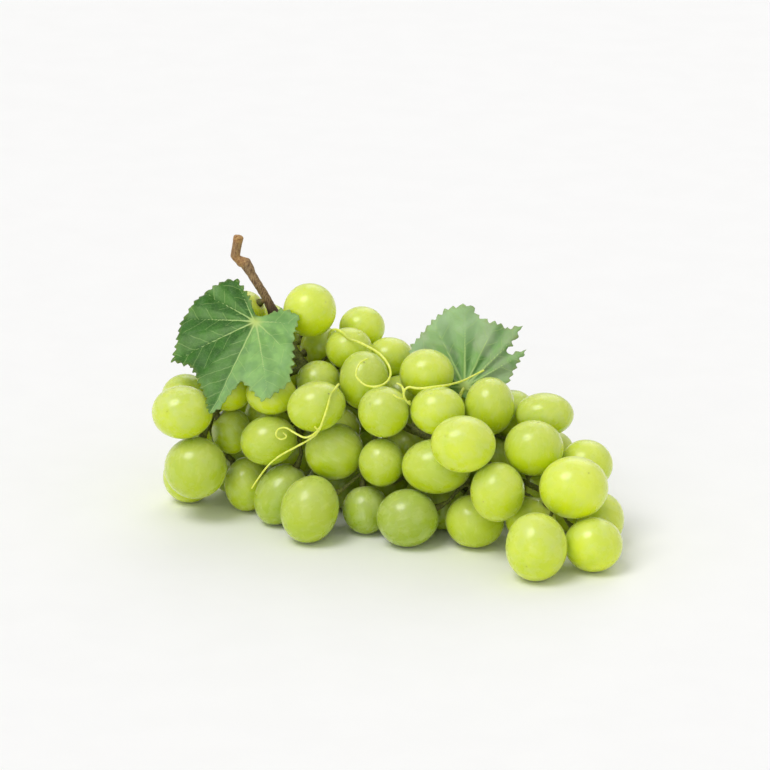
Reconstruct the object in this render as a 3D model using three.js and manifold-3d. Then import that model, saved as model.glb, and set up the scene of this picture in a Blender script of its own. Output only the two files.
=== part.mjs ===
// A bunch of green table grapes lying on its side, as picked: berries, stalk, two leaves, tendrils.
// Millimetres, +Z up. The bunch rests on z = 0 and its length runs along +X, stem end to tip.
import * as THREE from 'three';
import { mergeVertices } from 'three/addons/utils/BufferGeometryUtils.js';
import Module from 'manifold-3d';

const wasm = await Module();
wasm.setup();

// Driving dimensions
const GAP = 0.3; // clear space between neighbouring pieces
const FLAT_DEPTH = 0.35; // how far a resting berry's underside is pressed flat
const FRONT_SLOPE = 19; // degrees the bunch's front leans back from upright
const LAY_TURN = 32.6; // degrees that bring the bunch's length onto +X
const BUNCH_X = 26.9; // shift that brings the middle of the bunch's box onto the origin
const BUNCH_Y = -58.7;
const STEM_END = new THREE.Vector3(-50, 103, 0); // the middle line of the heap, on the surface
const TIP_END = new THREE.Vector3(75, 22, 0);
const TWIG_RADIUS = 1.05;
const PEDICEL_RADIUS = 0.75;
const COLLAR_RADIUS = 1.45; // the swollen end of a pedicel, against its berry
const TENDRIL_RADIUS = 0.6;
const LEAF_THICKNESS = 1.0;
const PETIOLE_RADIUS = 0.95;

// Berries of the front and top: across, up and depth on the leaning front plane, then width,
// height and tilt in degrees. A depth of null means that the berry rests on the surface.
const FACING_BERRIES = {
  shoulder: [
    [-77.5, 61.5, 50, 23.5, 20.5, 0],
    [-77.5, 68, 73, 19, 18, 0],
    [-73, 41.5, 56, 24, 24, 0],
    [-76, 37, null, 20.5, 20.5, 0],
    [-59, 55.5, 66, 15.5, 18, 0],
    [-52, 34, null, 17.5, 21, 0],
    [-60, 71, 60, 18, 18, 0],
    [-54, 86, 72, 17, 17, 0],
  ],
  crown: [
    [-29, 101.5, 62, 20.5, 21, 0],
    [-9, 95, 77, 18, 16.5, 0],
    [-52, 102.5, 74, 16, 16.5, 0],
    [-25, 87.5, 80, 16.5, 16.5, 0],
  ],
  upper: [
    [-13.5, 86.5, 61, 18, 16.5, 0],
    [-8, 74.5, 46, 19, 22.5, 0],
    [1.5, 83, 66, 18, 15.5, 0],
    [16, 77, 45, 21, 19, 0],
    [6, 69, 64, 16, 16, 0],
  ],
  left: [
    [-26, 64.5, 36, 22.5, 19, 15],
    [-43.5, 69, 49, 19.5, 16, 0],
    [-25.5, 74, 60, 17.5, 16, 0],
    [-44.5, 51.5, 50, 22, 19, 10],
    [-18, 47.5, 46, 22.5, 22, 0],
  ],
  left_base: [
    [-41, 30, null, 25, 19, 60],
    [-29.5, 26, null, 26, 22, 75],
  ],
  middle: [
    [0, 62.5, 31, 19.5, 19.5, 0],
    [-1.5, 43.5, 38, 17.5, 18.5, 0],
    [-7, 25, null, 18, 18.5, 0],
  ],
  right: [
    [20, 63, 30, 21, 18.5, 0],
    [29, 50, 13, 24.5, 21.5, 0],
    [18.5, 42, 31, 26.5, 21, 0],
    [8.5, 23, null, 23.5, 22, 0],
    [34, 21.5, null, 22.5, 20.5, 0],
  ],
  right_top: [
    [39.5, 64.5, 33, 19, 22, 0],
    [59.5, 61.5, 38, 22.5, 16.5, 0],
    [56, 48.5, 18, 22.5, 21, 0],
  ],
  tip: [
    [42, 33, 14, 20.5, 22.5, 0],
    [70, 34.5, 10, 26, 23.5, 0],
    [76, 42.5, 32, 20.5, 19, 0],
    [56, 13, null, 23, 25.5, 0],
    [77.5, 13.5, null, 22, 20.5, 0],
    [81.5, 22, null, 18, 21, 0],
    [56, 25, 24, 19, 17.5, 0],
  ],
};

// Berries behind the gaps of the front, joined on sprigs of their own, given in the same way.
const FACING_SPRIG_BERRIES = {
  inner_sprig_1: [
    [-34, 47, 78, 18, 18, 0],
    [-13, 35, 72, 18, 18, 0],
    [-15, 61, 62, 17, 17, 0],
    [-46, 60, 74, 18.5, 18, 0],
    [-67, 53, 84, 18, 18, 0],
    [-35, 76, 92, 16, 16, 0],
  ],
  inner_sprig_2: [
    [22, 29, 56, 18, 18, 0],
    [9, 52, 56, 17, 17, 0],
  ],
};

// Berries of the back, the underside and the stem end: along, side and height from the middle line,
// then diameter. A height of 0 means that the berry rests on the surface.
const REAR_SPRIG_BERRIES = {
  rear_top_sprig_1: [
    [2, 29, 49, 20],
    [22, 34, 49, 19.5],
    [10, 24, 66, 18],
  ],
  rear_top_sprig_2: [
    [43, 33, 47, 20],
    [63, 30, 46, 19.5],
  ],
  rear_tip_sprig: [
    [84, 26, 45, 19.5],
    [103, 24, 41, 18.5],
    [116, 29, 27, 19],
  ],
  rear_sprig_1: [
    [10, 43, 29, 20],
    [2, 35, 0, 21],
    [23, 37, 0, 19.5],
    [8, 20, 26, 18],
  ],
  rear_sprig_2: [
    [31, 44, 29, 21],
    [52, 43, 28, 19.5],
    [44, 36, 0, 20.5],
    [31, 21, 30, 18],
  ],
  rear_sprig_3: [
    [73, 40, 28, 20.5],
    [65, 34, 0, 20],
    [86, 31, 0, 21],
    [55, 20, 27, 18],
  ],
  rear_sprig_4: [
    [94, 35, 26, 19.5],
    [107, 31, 0, 20],
    [128, 23, 0, 18.5],
    [79, 18, 27, 17],
    [100, 15.5, 26, 17],
  ],
  stem_sprig: [
    [-14, 2, 30, 19],
    [-11, 20, 38, 20],
    [-11, 20, 0, 20.5],
    [-12, 2, 51, 18],
    [-6, 16, 60, 18],
  ],
  base_sprig_1: [
    [10, 8, 0, 19.5],
    [32, 8, 0, 20],
    [-1, -16, 0, 18.5],
  ],
  base_sprig_2: [
    [54, 7, 0, 19],
    [76, 5, 0, 20],
    [97, 13, 0, 19],
  ],
};

// The stalk's own line: the cut end, the knuckle, the bare stretch, then the length inside the berries.
const PEDUNCLE = [
  [-56.8, 108, 100.5],
  [-57.8, 108, 95],
  [-58, 108, 91],
  [-54.8, 107.5, 90.5],
  [-51.5, 106.5, 85],
  [-46.5, 105, 77],
  [-42.5, 103.5, 69],
];
const PEDUNCLE_RADII = [1.7, 1.4, 1.7, 2.1, 1.4, 1.35, 1.35, 1.5, 2.3];
const RACHIS = [
  [-42.5, 103.5, 69],
  [-36, 99, 57],
  [-26, 91, 47],
  [-8, 79, 40],
  [14, 64, 35],
  [36, 49, 29],
  [56, 36, 24],
  [64, 30, 21],
];
const RACHIS_RADII = [2.3, 2.1, 1.9, 1.7, 1.5, 1.3, 1.1, 1];

// Side branches of the stalk, each from the main line out to the berries that it feeds
const SIDE_BRANCHES = [
  [[-31, 95, 52], [-42, 92, 48], [-54, 86, 44], [-62, 81, 36]],
  [[-22, 88, 45], [-27, 78, 40], [-33, 69, 34]],
  [[-2, 75, 38], [-3, 64, 30], [-6, 58, 24]],
  [[24, 57, 33], [25, 48, 31], [27, 44, 24]],
];

// Leaves: where the petiole joins, the tip of the midrib, and a point of each half that sets its
// slope, each as across, up and depth on the front plane. The outline of each half is a list of
// degrees from the midrib and distance from the petiole. The petiole runs to its last point.
const LEAVES = {
  left_leaf: {
    heart: [-48.7, 97.2, 60],
    tip: [-65.3, 62.1, 40],
    sides: [[-80.4, 81.3, 60], [-41.1, 69.6, 40]],
    outlines: [
      [[0, 45.5], [6, 39.5], [21, 32.7], [34, 30.8], [46, 36], [58, 32.3], [79, 31.4], [95, 28.8],
        [114, 26.9], [125, 25.9], [137, 22.2], [145, 12.7], [160, 4]],
      [[0, 45.5], [7, 37], [12, 28.5], [18, 30.5], [28, 37.3], [38, 35.5], [48, 32.3], [58, 26.5],
        [70, 21.5], [90, 18.5], [118, 19.8], [131, 12.5], [150, 4]],
    ],
    petiole: [[-44.5, 96.5, 69], [-43, 96.5, 77]],
  },
  right_leaf: {
    heart: [30.6, 71.5, 50],
    tip: [43.4, 96.4, 54],
    sides: [[10.9, 89.6, 57], [52.8, 84.7, 48]],
    outlines: [
      [[0, 28], [8, 27], [17, 28.5], [23, 32.5], [40, 32.5], [50, 30], [62, 28], [75, 27.5],
        [95, 24], [120, 18], [145, 8], [165, 4]],
      [[0, 28], [9, 28], [14, 30], [17.5, 33], [19.5, 26], [22, 21.3], [27, 21.6], [31, 25.5],
        [33, 28.2], [37, 23.5], [46, 20], [62, 17], [90, 15], [120, 13], [150, 5]],
    ],
    petiole: [[27, 64, 50], [21, 54, 47]],
  },
};

// Tendrils: a root between the berries with its depth, then points across and up on the front plane,
// which are laid on whatever berries are under them. A branch starts at a point of the main line.
const TENDRILS = {
  left_tendril: {
    root: [[-15.5, 70, 60], [-18.5, 73.5, 51]],
    lines: [
      [[-20.4, 69], [-22.6, 61.5], [-25.3, 55], [-28, 52.5], [-34, 49], [-39.5, 46], [-44, 42.5],
        [-48, 37.5], [-51, 33]],
      [[-25.3, 55], [-30, 52.7], [-34, 54.3], [-37.7, 56.4], [-40.7, 55.8], [-41.5, 53.6],
        [-39.7, 51.9], [-37.5, 52.6], [-37.2, 54.2], [-38.8, 54.6]],
      [[-25.3, 55], [-26.5, 57]],
    ],
  },
  loop_tendril: {
    root: [[-22, 84, 69], [-17, 91, 66]],
    lines: [
      [[-14, 90.4], [-10, 89], [-5.3, 86.6], [-2.3, 84.7], [0.4, 81.7], [1.9, 78.7], [1.9, 75.7],
        [-0.4, 73], [-5.3, 72], [-8.7, 73.4], [-10.9, 76], [-10.6, 78.7], [-8.7, 81.7], [-6.4, 82.6]],
    ],
  },
  right_tendril: {
    root: [[12, 62, 55], [10.5, 64, 44]],
    lines: [
      [[9.4, 65.3], [7.5, 67.4], [7, 70], [8.5, 71.8], [12.5, 71.3], [17.7, 71.9], [23.4, 72.6],
        [29.4, 74.2], [33.2, 76], [37.7, 78.3]],
      [[7, 70], [6.6, 72], [4.2, 73.4]],
      [[7.5, 67.4], [5.5, 67.6], [3, 69]],
    ],
  },
};

// Plane of the leaning front
const radians = THREE.MathUtils.degToRad;
const ACROSS = new THREE.Vector3(1, 0, 0);
const UP = new THREE.Vector3(0, Math.sin(radians(FRONT_SLOPE)), Math.cos(radians(FRONT_SLOPE)));
const DEPTH = new THREE.Vector3(0, Math.cos(radians(FRONT_SLOPE)), -Math.sin(radians(FRONT_SLOPE)));
const ALONG = TIP_END.clone().sub(STEM_END).normalize();
const SIDE = new THREE.Vector3(-ALONG.y, ALONG.x, 0);

function onFront(across, up, depth) {
  const place = ACROSS.clone().multiplyScalar(across);
  place.addScaledVector(UP, up);
  return place.addScaledVector(DEPTH, depth);
}

// A place on the front plane at a height above the surface
function onFrontAtHeight(across, up, height) {
  const depth = (up * UP.z - height) / -DEPTH.z;
  return onFront(across, up, depth);
}

function onMiddleLine(along, side, height) {
  const place = STEM_END.clone().addScaledVector(ALONG, along).addScaledVector(SIDE, side);
  place.z = height;
  return place;
}

function vectors(rows) {
  return rows.map((row) => new THREE.Vector3(...row));
}

// Berries: ellipsoids with a centre, three axes and three half sizes
function makeBerry(name, group, centre, axes, halves, resting) {
  return { name, group, centre, home: centre.clone(), axes, halves, resting };
}

function facingBerry(name, group, [across, up, depth, width, height, tilt]) {
  const turn = radians(tilt);
  const axes = [
    ACROSS.clone().multiplyScalar(Math.cos(turn)).addScaledVector(UP, Math.sin(turn)),
    UP.clone().multiplyScalar(Math.cos(turn)).addScaledVector(ACROSS, -Math.sin(turn)),
    DEPTH.clone(),
  ];
  const halves = [width / 2, height / 2, (width + height) / 4];
  const resting = depth === null;
  const centre = resting ? onFrontAtHeight(across, up, height / 2) : onFront(across, up, depth);
  return makeBerry(name, group, centre, axes, halves, resting);
}

function rearBerry(name, group, [along, side, height, diameter], index) {
  const resting = height === 0;
  const centre = onMiddleLine(along, side, resting ? diameter / 2 : height);
  const axes = [ALONG.clone(), SIDE.clone(), new THREE.Vector3(0, 0, 1)];
  const stretch = 1 + 0.06 * ((index % 3) - 1);
  const halves = [(diameter / 2) * stretch, diameter / 2, diameter / 2 / stretch];
  return makeBerry(name, group, centre, axes, halves, resting);
}

const berries = [];
function addBerries(table, make, separate) {
  for (const [group, rows] of Object.entries(table)) {
    rows.forEach((row, index) => {
      const berry = make(`${group}_berry_${index + 1}`, group, row, index);
      berry.separate = separate;
      berries.push(berry);
    });
  }
}
addBerries(FACING_BERRIES, facingBerry, true);
addBerries(FACING_SPRIG_BERRIES, facingBerry, false);
addBerries(REAR_SPRIG_BERRIES, rearBerry, false);

// The half-width of a berry in a direction, and the point of its skin that lies farthest that way
function farthest(berry, direction) {
  const offset = new THREE.Vector3();
  berry.axes.forEach((axis, i) => {
    offset.addScaledVector(axis, berry.halves[i] ** 2 * axis.dot(direction));
  });
  const width = Math.sqrt(offset.dot(direction));
  return { width, offset: offset.divideScalar(width) };
}

// Clear distance between two berries, negative where they overlap, and its direction
function separation(first, second) {
  const between = second.centre.clone().sub(first.centre);
  const direction = between.clone().normalize();
  let clear = 0;
  for (let round = 0; round < 6; round += 1) {
    const a = farthest(first, direction);
    const b = farthest(second, direction);
    clear = between.dot(direction) - a.width - b.width;
    const slope = between.clone().sub(a.offset).sub(b.offset);
    slope.addScaledVector(direction, -slope.dot(direction));
    direction.addScaledVector(slope, 1 / between.length()).normalize();
  }
  return { clear, direction };
}

// Distance of a point from a berry's skin, negative inside, and the outward direction there
function outside(berry, point) {
  const offset = point.clone().sub(berry.centre);
  const inward = new THREE.Vector3();
  let first = 0;
  let second = 0;
  berry.axes.forEach((axis, i) => {
    const reach = axis.dot(offset);
    const half = berry.halves[i];
    first += (reach / half) ** 2;
    second += (reach / half ** 2) ** 2;
    inward.addScaledVector(axis, reach / half ** 2);
  });
  const distance = (Math.sqrt(first) * (Math.sqrt(first) - 1)) / Math.sqrt(second);
  return { distance, direction: inward.normalize() };
}

// Settling: berries push one another and the stalk apart, and drift back toward their own places
const SETTLE_ROUNDS = 500;
const DRIFT = 0.04;
const DEPTH_DRIFT = 0.008;
const STALK_CLEARANCE = 3.2;
const SPRIG_EASE = 3; // how much more easily a sprig's berry gives way than a separate one
const rachisLine = new THREE.CatmullRomCurve3(vectors([...PEDUNCLE.slice(3, -1), ...RACHIS]));
const stalkSamples = rachisLine.getSpacedPoints(50);

function drift(berry) {
  const back = berry.home.clone().sub(berry.centre);
  const deep = berry.separate ? back.dot(DEPTH) : 0;
  berry.centre.addScaledVector(back, DRIFT);
  berry.centre.addScaledVector(DEPTH, deep * (DEPTH_DRIFT - DRIFT));
}

function pushPair(first, second) {
  const reach = Math.max(...first.halves) + Math.max(...second.halves) + GAP;
  if (first.centre.distanceTo(second.centre) > reach) return;
  const { clear, direction } = separation(first, second);
  if (clear >= GAP) return;
  const firstEase = first.separate ? 1 : SPRIG_EASE;
  const secondEase = second.separate ? 1 : SPRIG_EASE;
  const push = (GAP - clear) / (firstEase + secondEase);
  first.centre.addScaledVector(direction, -push * firstEase);
  second.centre.addScaledVector(direction, push * secondEase);
}

function pushOffStalk(berry) {
  for (const sample of stalkSamples) {
    const { distance, direction } = outside(berry, sample);
    if (distance < STALK_CLEARANCE) {
      berry.centre.addScaledVector(direction, (distance - STALK_CLEARANCE) / 2);
    }
  }
}

function holdAboveSurface(berry) {
  const lowest = farthest(berry, new THREE.Vector3(0, 0, 1)).width;
  if (berry.resting) {
    berry.centre.z = lowest - FLAT_DEPTH;
  } else {
    berry.centre.z = Math.max(berry.centre.z, lowest + GAP);
  }
}

function pushAllPairs() {
  for (let i = 0; i < berries.length; i += 1) {
    for (let j = i + 1; j < berries.length; j += 1) pushPair(berries[i], berries[j]);
  }
}

for (let round = 0; round < SETTLE_ROUNDS; round += 1) {
  const late = round > SETTLE_ROUNDS * 0.8;
  if (!late) berries.forEach(drift);
  pushAllPairs();
  berries.forEach(pushOffStalk);
  berries.forEach(holdAboveSurface);
}

// Solids
function solidOf(geometry) {
  const bare = geometry.clone();
  bare.deleteAttribute('normal');
  bare.deleteAttribute('uv');
  const merged = mergeVertices(bare, 1e-4);
  const vertProperties = new Float32Array(merged.attributes.position.array);
  const triVerts = new Uint32Array(merged.index.array);
  return new wasm.Manifold(new wasm.Mesh({ numProp: 3, vertProperties, triVerts }));
}

function geometryOf(solid) {
  const mesh = solid.getMesh();
  const geometry = new THREE.BufferGeometry();
  geometry.setAttribute('position', new THREE.BufferAttribute(mesh.vertProperties, 3));
  geometry.setIndex(new THREE.BufferAttribute(mesh.triVerts, 1));
  return geometry;
}

function unite(solids) {
  return solids.reduce((whole, solid) => whole.add(solid));
}

function largestBody(solid) {
  const bodies = solid.decompose();
  bodies.sort((a, b) => b.volume() - a.volume());
  return bodies[0];
}

// A berry's skin, grown by an allowance. Its lowest vertex points straight down.
const POLE_TILT = Math.atan2(1, (1 + Math.sqrt(5)) / 2);
function berrySolid(berry, allowance) {
  const geometry = new THREE.IcosahedronGeometry(1, 1);
  geometry.rotateX(POLE_TILT);
  const halves = berry.halves.map((half) => half + allowance);
  const stretch = new THREE.Matrix4();
  const [a, b, c] = berry.axes;
  const value = (row, column) => {
    const parts = [a, b, c].map((axis, i) => {
      return axis.getComponent(row) * axis.getComponent(column) * halves[i];
    });
    return parts[0] + parts[1] + parts[2];
  };
  const { x, y, z } = berry.centre;
  stretch.set(
    value(0, 0), value(0, 1), value(0, 2), x,
    value(1, 0), value(1, 1), value(1, 2), y,
    value(2, 0), value(2, 1), value(2, 2), z,
    0, 0, 0, 1,
  );
  geometry.applyMatrix4(stretch);
  return solidOf(geometry);
}

const SURFACE_BLOCK = 400;
function aboveSurface(solid) {
  const block = new THREE.BoxGeometry(SURFACE_BLOCK, SURFACE_BLOCK, SURFACE_BLOCK);
  block.translate(0, 0, -SURFACE_BLOCK / 2);
  return solid.subtract(solidOf(block));
}

// A round stem along a smooth line, whose radius changes evenly through the given values
function stemSolid(points, radii, sides, steps) {
  const line = new THREE.CatmullRomCurve3(points, false, 'centripetal');
  const corners = [];
  for (let i = 0; i < sides; i += 1) {
    const turn = (i / sides) * Math.PI * 2;
    corners.push(new THREE.Vector2(Math.cos(turn), Math.sin(turn)));
  }
  const even = Math.min(...radii) === Math.max(...radii);
  const size = even ? radii[0] : 1;
  const section = new THREE.Shape(corners.map((corner) => corner.multiplyScalar(size)));
  const options = { steps, extrudePath: line, bevelEnabled: false };
  const geometry = new THREE.ExtrudeGeometry(section, options);
  if (!even) taper(geometry, line.getSpacedPoints(steps), radii);
  return solidOf(geometry);
}

// Scales each ring of a stem of radius 1 to its own radius
function taper(geometry, rings, radii) {
  const position = geometry.attributes.position;
  const vertex = new THREE.Vector3();
  for (let i = 0; i < position.count; i += 1) {
    vertex.fromBufferAttribute(position, i);
    const misses = rings.map((ring) => Math.abs(ring.distanceTo(vertex) - 1));
    const nearest = misses.indexOf(Math.min(...misses));
    const place = (nearest / (rings.length - 1)) * (radii.length - 1);
    const before = Math.min(Math.floor(place), radii.length - 2);
    const radius = THREE.MathUtils.lerp(radii[before], radii[before + 1], place - before);
    vertex.sub(rings[nearest]).multiplyScalar(radius).add(rings[nearest]);
    position.setXYZ(i, vertex.x, vertex.y, vertex.z);
  }
}

function grown(radii, allowance) {
  return radii.map((radius) => radius + allowance);
}

// Pushes a point out of the berries until it has the given clearance from each
function pushClear(point, clearance) {
  for (const berry of berries) {
    const { distance, direction } = outside(berry, point);
    if (distance < clearance) point.addScaledVector(direction, clearance - distance);
  }
  point.z = Math.max(point.z, clearance);
}

// Threads a line between the berries: its inner points are evened out and pushed clear in turn
const THREAD_ROUNDS = 80;
function threadBetween(points, clearance, spacing, looseEnd = false) {
  const start = new THREE.CatmullRomCurve3(points, false, 'centripetal');
  const count = Math.max(2, Math.round(start.getLength() / spacing));
  const line = start.getSpacedPoints(count);
  for (let round = 0; round < THREAD_ROUNDS; round += 1) {
    for (let i = 1; i < line.length - 1; i += 1) {
      const middle = line[i - 1].clone().add(line[i + 1]).multiplyScalar(0.5);
      line[i].lerp(middle, 0.4);
      pushClear(line[i], clearance);
    }
    if (looseEnd) pushClear(line.at(-1), clearance);
  }
  return line;
}

function nearestOf(places, point) {
  const distances = places.map((place) => place.distanceTo(point));
  return places[distances.indexOf(Math.min(...distances))];
}

// The open side of a berry nearest to the place that feeds it: where its pedicel joins
const POLE_TRIES = 120;
const POLE_ROOM = 3.5;
const POLE_SPREAD = 0.3; // least cosine between the pole and the way to the stalk
function stemPole(berry, feeder) {
  const inward = feeder.clone().sub(berry.centre).normalize();
  let best = null;
  for (let i = 0; i < POLE_TRIES; i += 1) {
    const height = 1 - (2 * (i + 0.5)) / POLE_TRIES;
    const turn = i * Math.PI * (3 - Math.sqrt(5));
    const across = Math.sqrt(1 - height * height);
    const direction = new THREE.Vector3(across * Math.cos(turn), across * Math.sin(turn), height);
    if (direction.dot(inward) < POLE_SPREAD) continue;
    const skin = berry.centre.clone().add(farthest(berry, direction).offset);
    const neck = skin.clone().addScaledVector(direction, POLE_ROOM);
    const rooms = berries.filter((other) => other !== berry).map((other) => outside(other, neck).distance);
    const score = 2 * Math.min(...rooms, 2.2) + 6 * direction.dot(inward);
    if (best === null || score > best.score) best = { score, direction, skin, neck };
  }
  return best;
}

// A pedicel from its berry's pole to the nearest place on the branch that feeds it
const PEDICEL_SIDES = 4;
const SPRIG_START = -1.6; // a sprig's pedicels start inside their own berries
const STEM_SPACING = 4.5;
const SPRIG_SIDES = 4;
const PEDICEL_RADII = [COLLAR_RADIUS, PEDICEL_RADIUS, PEDICEL_RADIUS, PEDICEL_RADIUS, TWIG_RADIUS];
function pedicel(berry, feeders, sides, start) {
  const pole = stemPole(berry, nearestOf(feeders, berry.centre));
  const skin = pole.skin.clone().addScaledVector(pole.direction, start);
  const feeder = nearestOf(feeders, pole.neck);
  const line = threadBetween([pole.neck, feeder], PEDICEL_RADIUS + GAP, STEM_SPACING);
  return { points: [skin, ...line], radii: PEDICEL_RADII, sides, steps: line.length };
}

// A plant part made of stems, as one solid, with an allowance added to every radius
function stemsSolid(stems, allowance) {
  const solids = stems.map(({ points, radii, sides, steps }) => {
    return stemSolid(points, grown(radii, allowance), sides, steps);
  });
  return solids.reduce((whole, solid) => whole.add(solid));
}

function clearOf(solid, others) {
  return others.reduce((rest, berry) => rest.subtract(berrySolid(berry, GAP)), solid);
}

// The stalk: bare stem, main line, side branches and the pedicels of the separate berries
const PEDUNCLE_SIDES = 8;
const MAIN_SIDES = 7;
const BRANCH_SIDES = 5;
const mainRoute = rachisLine.getSpacedPoints(40);
const branches = SIDE_BRANCHES.map((rows) => {
  return threadBetween(vectors(rows), TWIG_RADIUS + 2 * GAP, STEM_SPACING, true);
});
const separateBerries = berries.filter((berry) => berry.separate);

function stalkStems() {
  const routes = [...mainRoute, ...branches.flatMap((branch) => branch.slice(1))];
  const stems = [
    { points: vectors(PEDUNCLE), radii: PEDUNCLE_RADII, sides: PEDUNCLE_SIDES, steps: 14 },
    { points: vectors(RACHIS), radii: RACHIS_RADII, sides: MAIN_SIDES, steps: 16 },
  ];
  for (const points of branches) {
    const radii = [TWIG_RADIUS * 1.3, TWIG_RADIUS];
    stems.push({ points, radii, sides: BRANCH_SIDES, steps: points.length - 1 });
  }
  for (const berry of separateBerries) stems.push(pedicel(berry, routes, PEDICEL_SIDES, 1.5 * GAP));
  return stems;
}

// A sprig's stems: a twig from the stalk's main line and a pedicel to each of its berries
function sprigStems(members) {
  const middle = new THREE.Vector3();
  members.forEach((berry) => middle.addScaledVector(berry.centre, 1 / members.length));
  const root = nearestOf(mainRoute, middle);
  const hub = root.clone().lerp(middle, 0.5);
  const points = threadBetween([root, hub], TWIG_RADIUS + 2 * GAP, STEM_SPACING, true);
  const radii = [TWIG_RADIUS, TWIG_RADIUS];
  const stems = [{ points, radii, sides: SPRIG_SIDES, steps: points.length - 1 }];
  for (const berry of members) {
    stems.push(pedicel(berry, points.slice(1), SPRIG_SIDES, SPRIG_START));
  }
  return stems;
}

// Leaves: a thin folded blade whose two halves meet at the midrib, draped clear of the berries
const LEAF_RINGS = [0.2, 0.4, 0.6, 0.8, 1];
const LEAF_CLEARANCE = LEAF_THICKNESS / 2 + 3 * GAP;
const DRAPE_ROUNDS = 90;
const PETIOLE_SIDES = 6;

// Radius and slope direction of the leaf's edge all the way round, starting at the midrib's tip
function leafSpokes(outlines) {
  const spokes = [];
  outlines.forEach((outline, half) => {
    const turned = outline.slice(1).map(([angle, reach]) => ({ angle: radians(angle), reach, half }));
    if (half === 0) spokes.push({ angle: 0, reach: outline[0][1], half }, ...turned);
    if (half === 1) spokes.push(...turned.reverse());
  });
  return spokes;
}

function leafFrame(leaf) {
  const heart = onFront(...leaf.heart);
  const midrib = onFront(...leaf.tip).sub(heart).normalize();
  const slopes = leaf.sides.map((side) => {
    const slope = onFront(...side).sub(heart);
    return slope.addScaledVector(midrib, -slope.dot(midrib)).normalize();
  });
  const face = midrib.clone().cross(slopes[1]).add(slopes[0].clone().cross(midrib)).normalize();
  return { heart, midrib, slopes, face };
}

function leafSheet(leaf) {
  const { heart, midrib, slopes, face } = leafFrame(leaf);
  const spokes = leafSpokes(leaf.outlines);
  const count = spokes.length;
  const points = [heart.clone()];
  for (const share of LEAF_RINGS) {
    for (const { angle, reach, half } of spokes) {
      const point = heart.clone().addScaledVector(midrib, reach * share * Math.cos(angle));
      points.push(point.addScaledVector(slopes[half], reach * share * Math.sin(angle)));
    }
  }
  const faces = [];
  for (let i = 0; i < count; i += 1) {
    const next = (i + 1) % count;
    faces.push([0, 1 + i, 1 + next]);
    for (let ring = 1; ring < LEAF_RINGS.length; ring += 1) {
      const inner = 1 + (ring - 1) * count;
      const outer = 1 + ring * count;
      faces.push([inner + i, outer + i, outer + next], [inner + i, outer + next, inner + next]);
    }
  }
  drape(points, faces);
  return { points, faces, face, count };
}

// Moves a sheet clear of the berries and spreads each move to the points around it
function drape(points, faces) {
  const homes = points.map((point) => point.clone());
  const neighbours = points.map(() => new Set());
  for (const corners of faces) {
    for (const corner of corners) corners.forEach((other) => neighbours[corner].add(other));
  }
  for (let round = 0; round < DRAPE_ROUNDS; round += 1) {
    const moves = points.map((point, i) => point.clone().sub(homes[i]));
    points.forEach((point, i) => {
      const mean = new THREE.Vector3();
      neighbours[i].forEach((j) => mean.addScaledVector(moves[j], 1 / neighbours[i].size));
      point.copy(homes[i]).add(mean);
      pushClear(point, LEAF_CLEARANCE);
    });
  }
}

// A closed blade from its middle sheet: the sheet's two faces, half a thickness out, and its edge
function bladeSolid({ points, faces, face, count }, thickness) {
  const normals = points.map(() => new THREE.Vector3());
  for (const [a, b, c] of faces) {
    const first = points[b].clone().sub(points[a]);
    const normal = first.cross(points[c].clone().sub(points[a]));
    if (normal.dot(face) < 0) normal.negate();
    [a, b, c].forEach((corner) => normals[corner].add(normal));
  }
  const vertices = [];
  for (const side of [1, -1]) {
    points.forEach((point, i) => {
      const normal = normals[i].normalize();
      vertices.push(point.clone().addScaledVector(normal, (side * thickness) / 2));
    });
  }
  const below = points.length;
  const triangles = [];
  const [a, b, c] = faces[0].map((i) => points[i]);
  const upright = b.clone().sub(a).cross(c.clone().sub(a)).dot(face) > 0;
  const addFace = (i, j, k) => triangles.push(...(upright ? [i, j, k] : [i, k, j]));
  for (const [i, j, k] of faces) {
    addFace(i, j, k);
    addFace(below + i, below + k, below + j);
  }
  const rim = points.length - count;
  for (let i = 0; i < count; i += 1) {
    const here = rim + i;
    const next = rim + ((i + 1) % count);
    addFace(here, below + here, below + next);
    addFace(here, below + next, next);
  }
  const geometry = new THREE.BufferGeometry().setFromPoints(vertices);
  geometry.setIndex(triangles);
  return solidOf(geometry);
}

function petioleSolid(heart, leaf) {
  const way = [heart, ...leaf.petiole.map((row) => onFront(...row))];
  const points = threadBetween(way, PETIOLE_RADIUS + 2 * GAP, STEM_SPACING);
  return stemSolid(points, [PETIOLE_RADIUS, PETIOLE_RADIUS], PETIOLE_SIDES, points.length);
}

// Tendrils: laid on the front of whatever berries are under them, and joined at their branch points
const TENDRIL_SIDES = 5;
const TENDRIL_SPACING = 2.8;
const TENDRIL_CLEARANCE = TENDRIL_RADIUS + GAP + 0.1;
const LAY_ROUNDS = 40;
const LAY_REACH = 90; // how deep a tendril's line is searched for a berry to lie on
const LAY_STEP = 0.5;

// Depth at which a line into the bunch first comes close to a berry, or null where it meets none
function restingDepth(point) {
  const probe = point.clone();
  for (let depth = 0; depth < LAY_REACH; depth += LAY_STEP) {
    probe.copy(point).addScaledVector(DEPTH, depth);
    if (berries.some((berry) => outside(berry, probe).distance < TENDRIL_CLEARANCE)) return depth;
  }
  return null;
}

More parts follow.
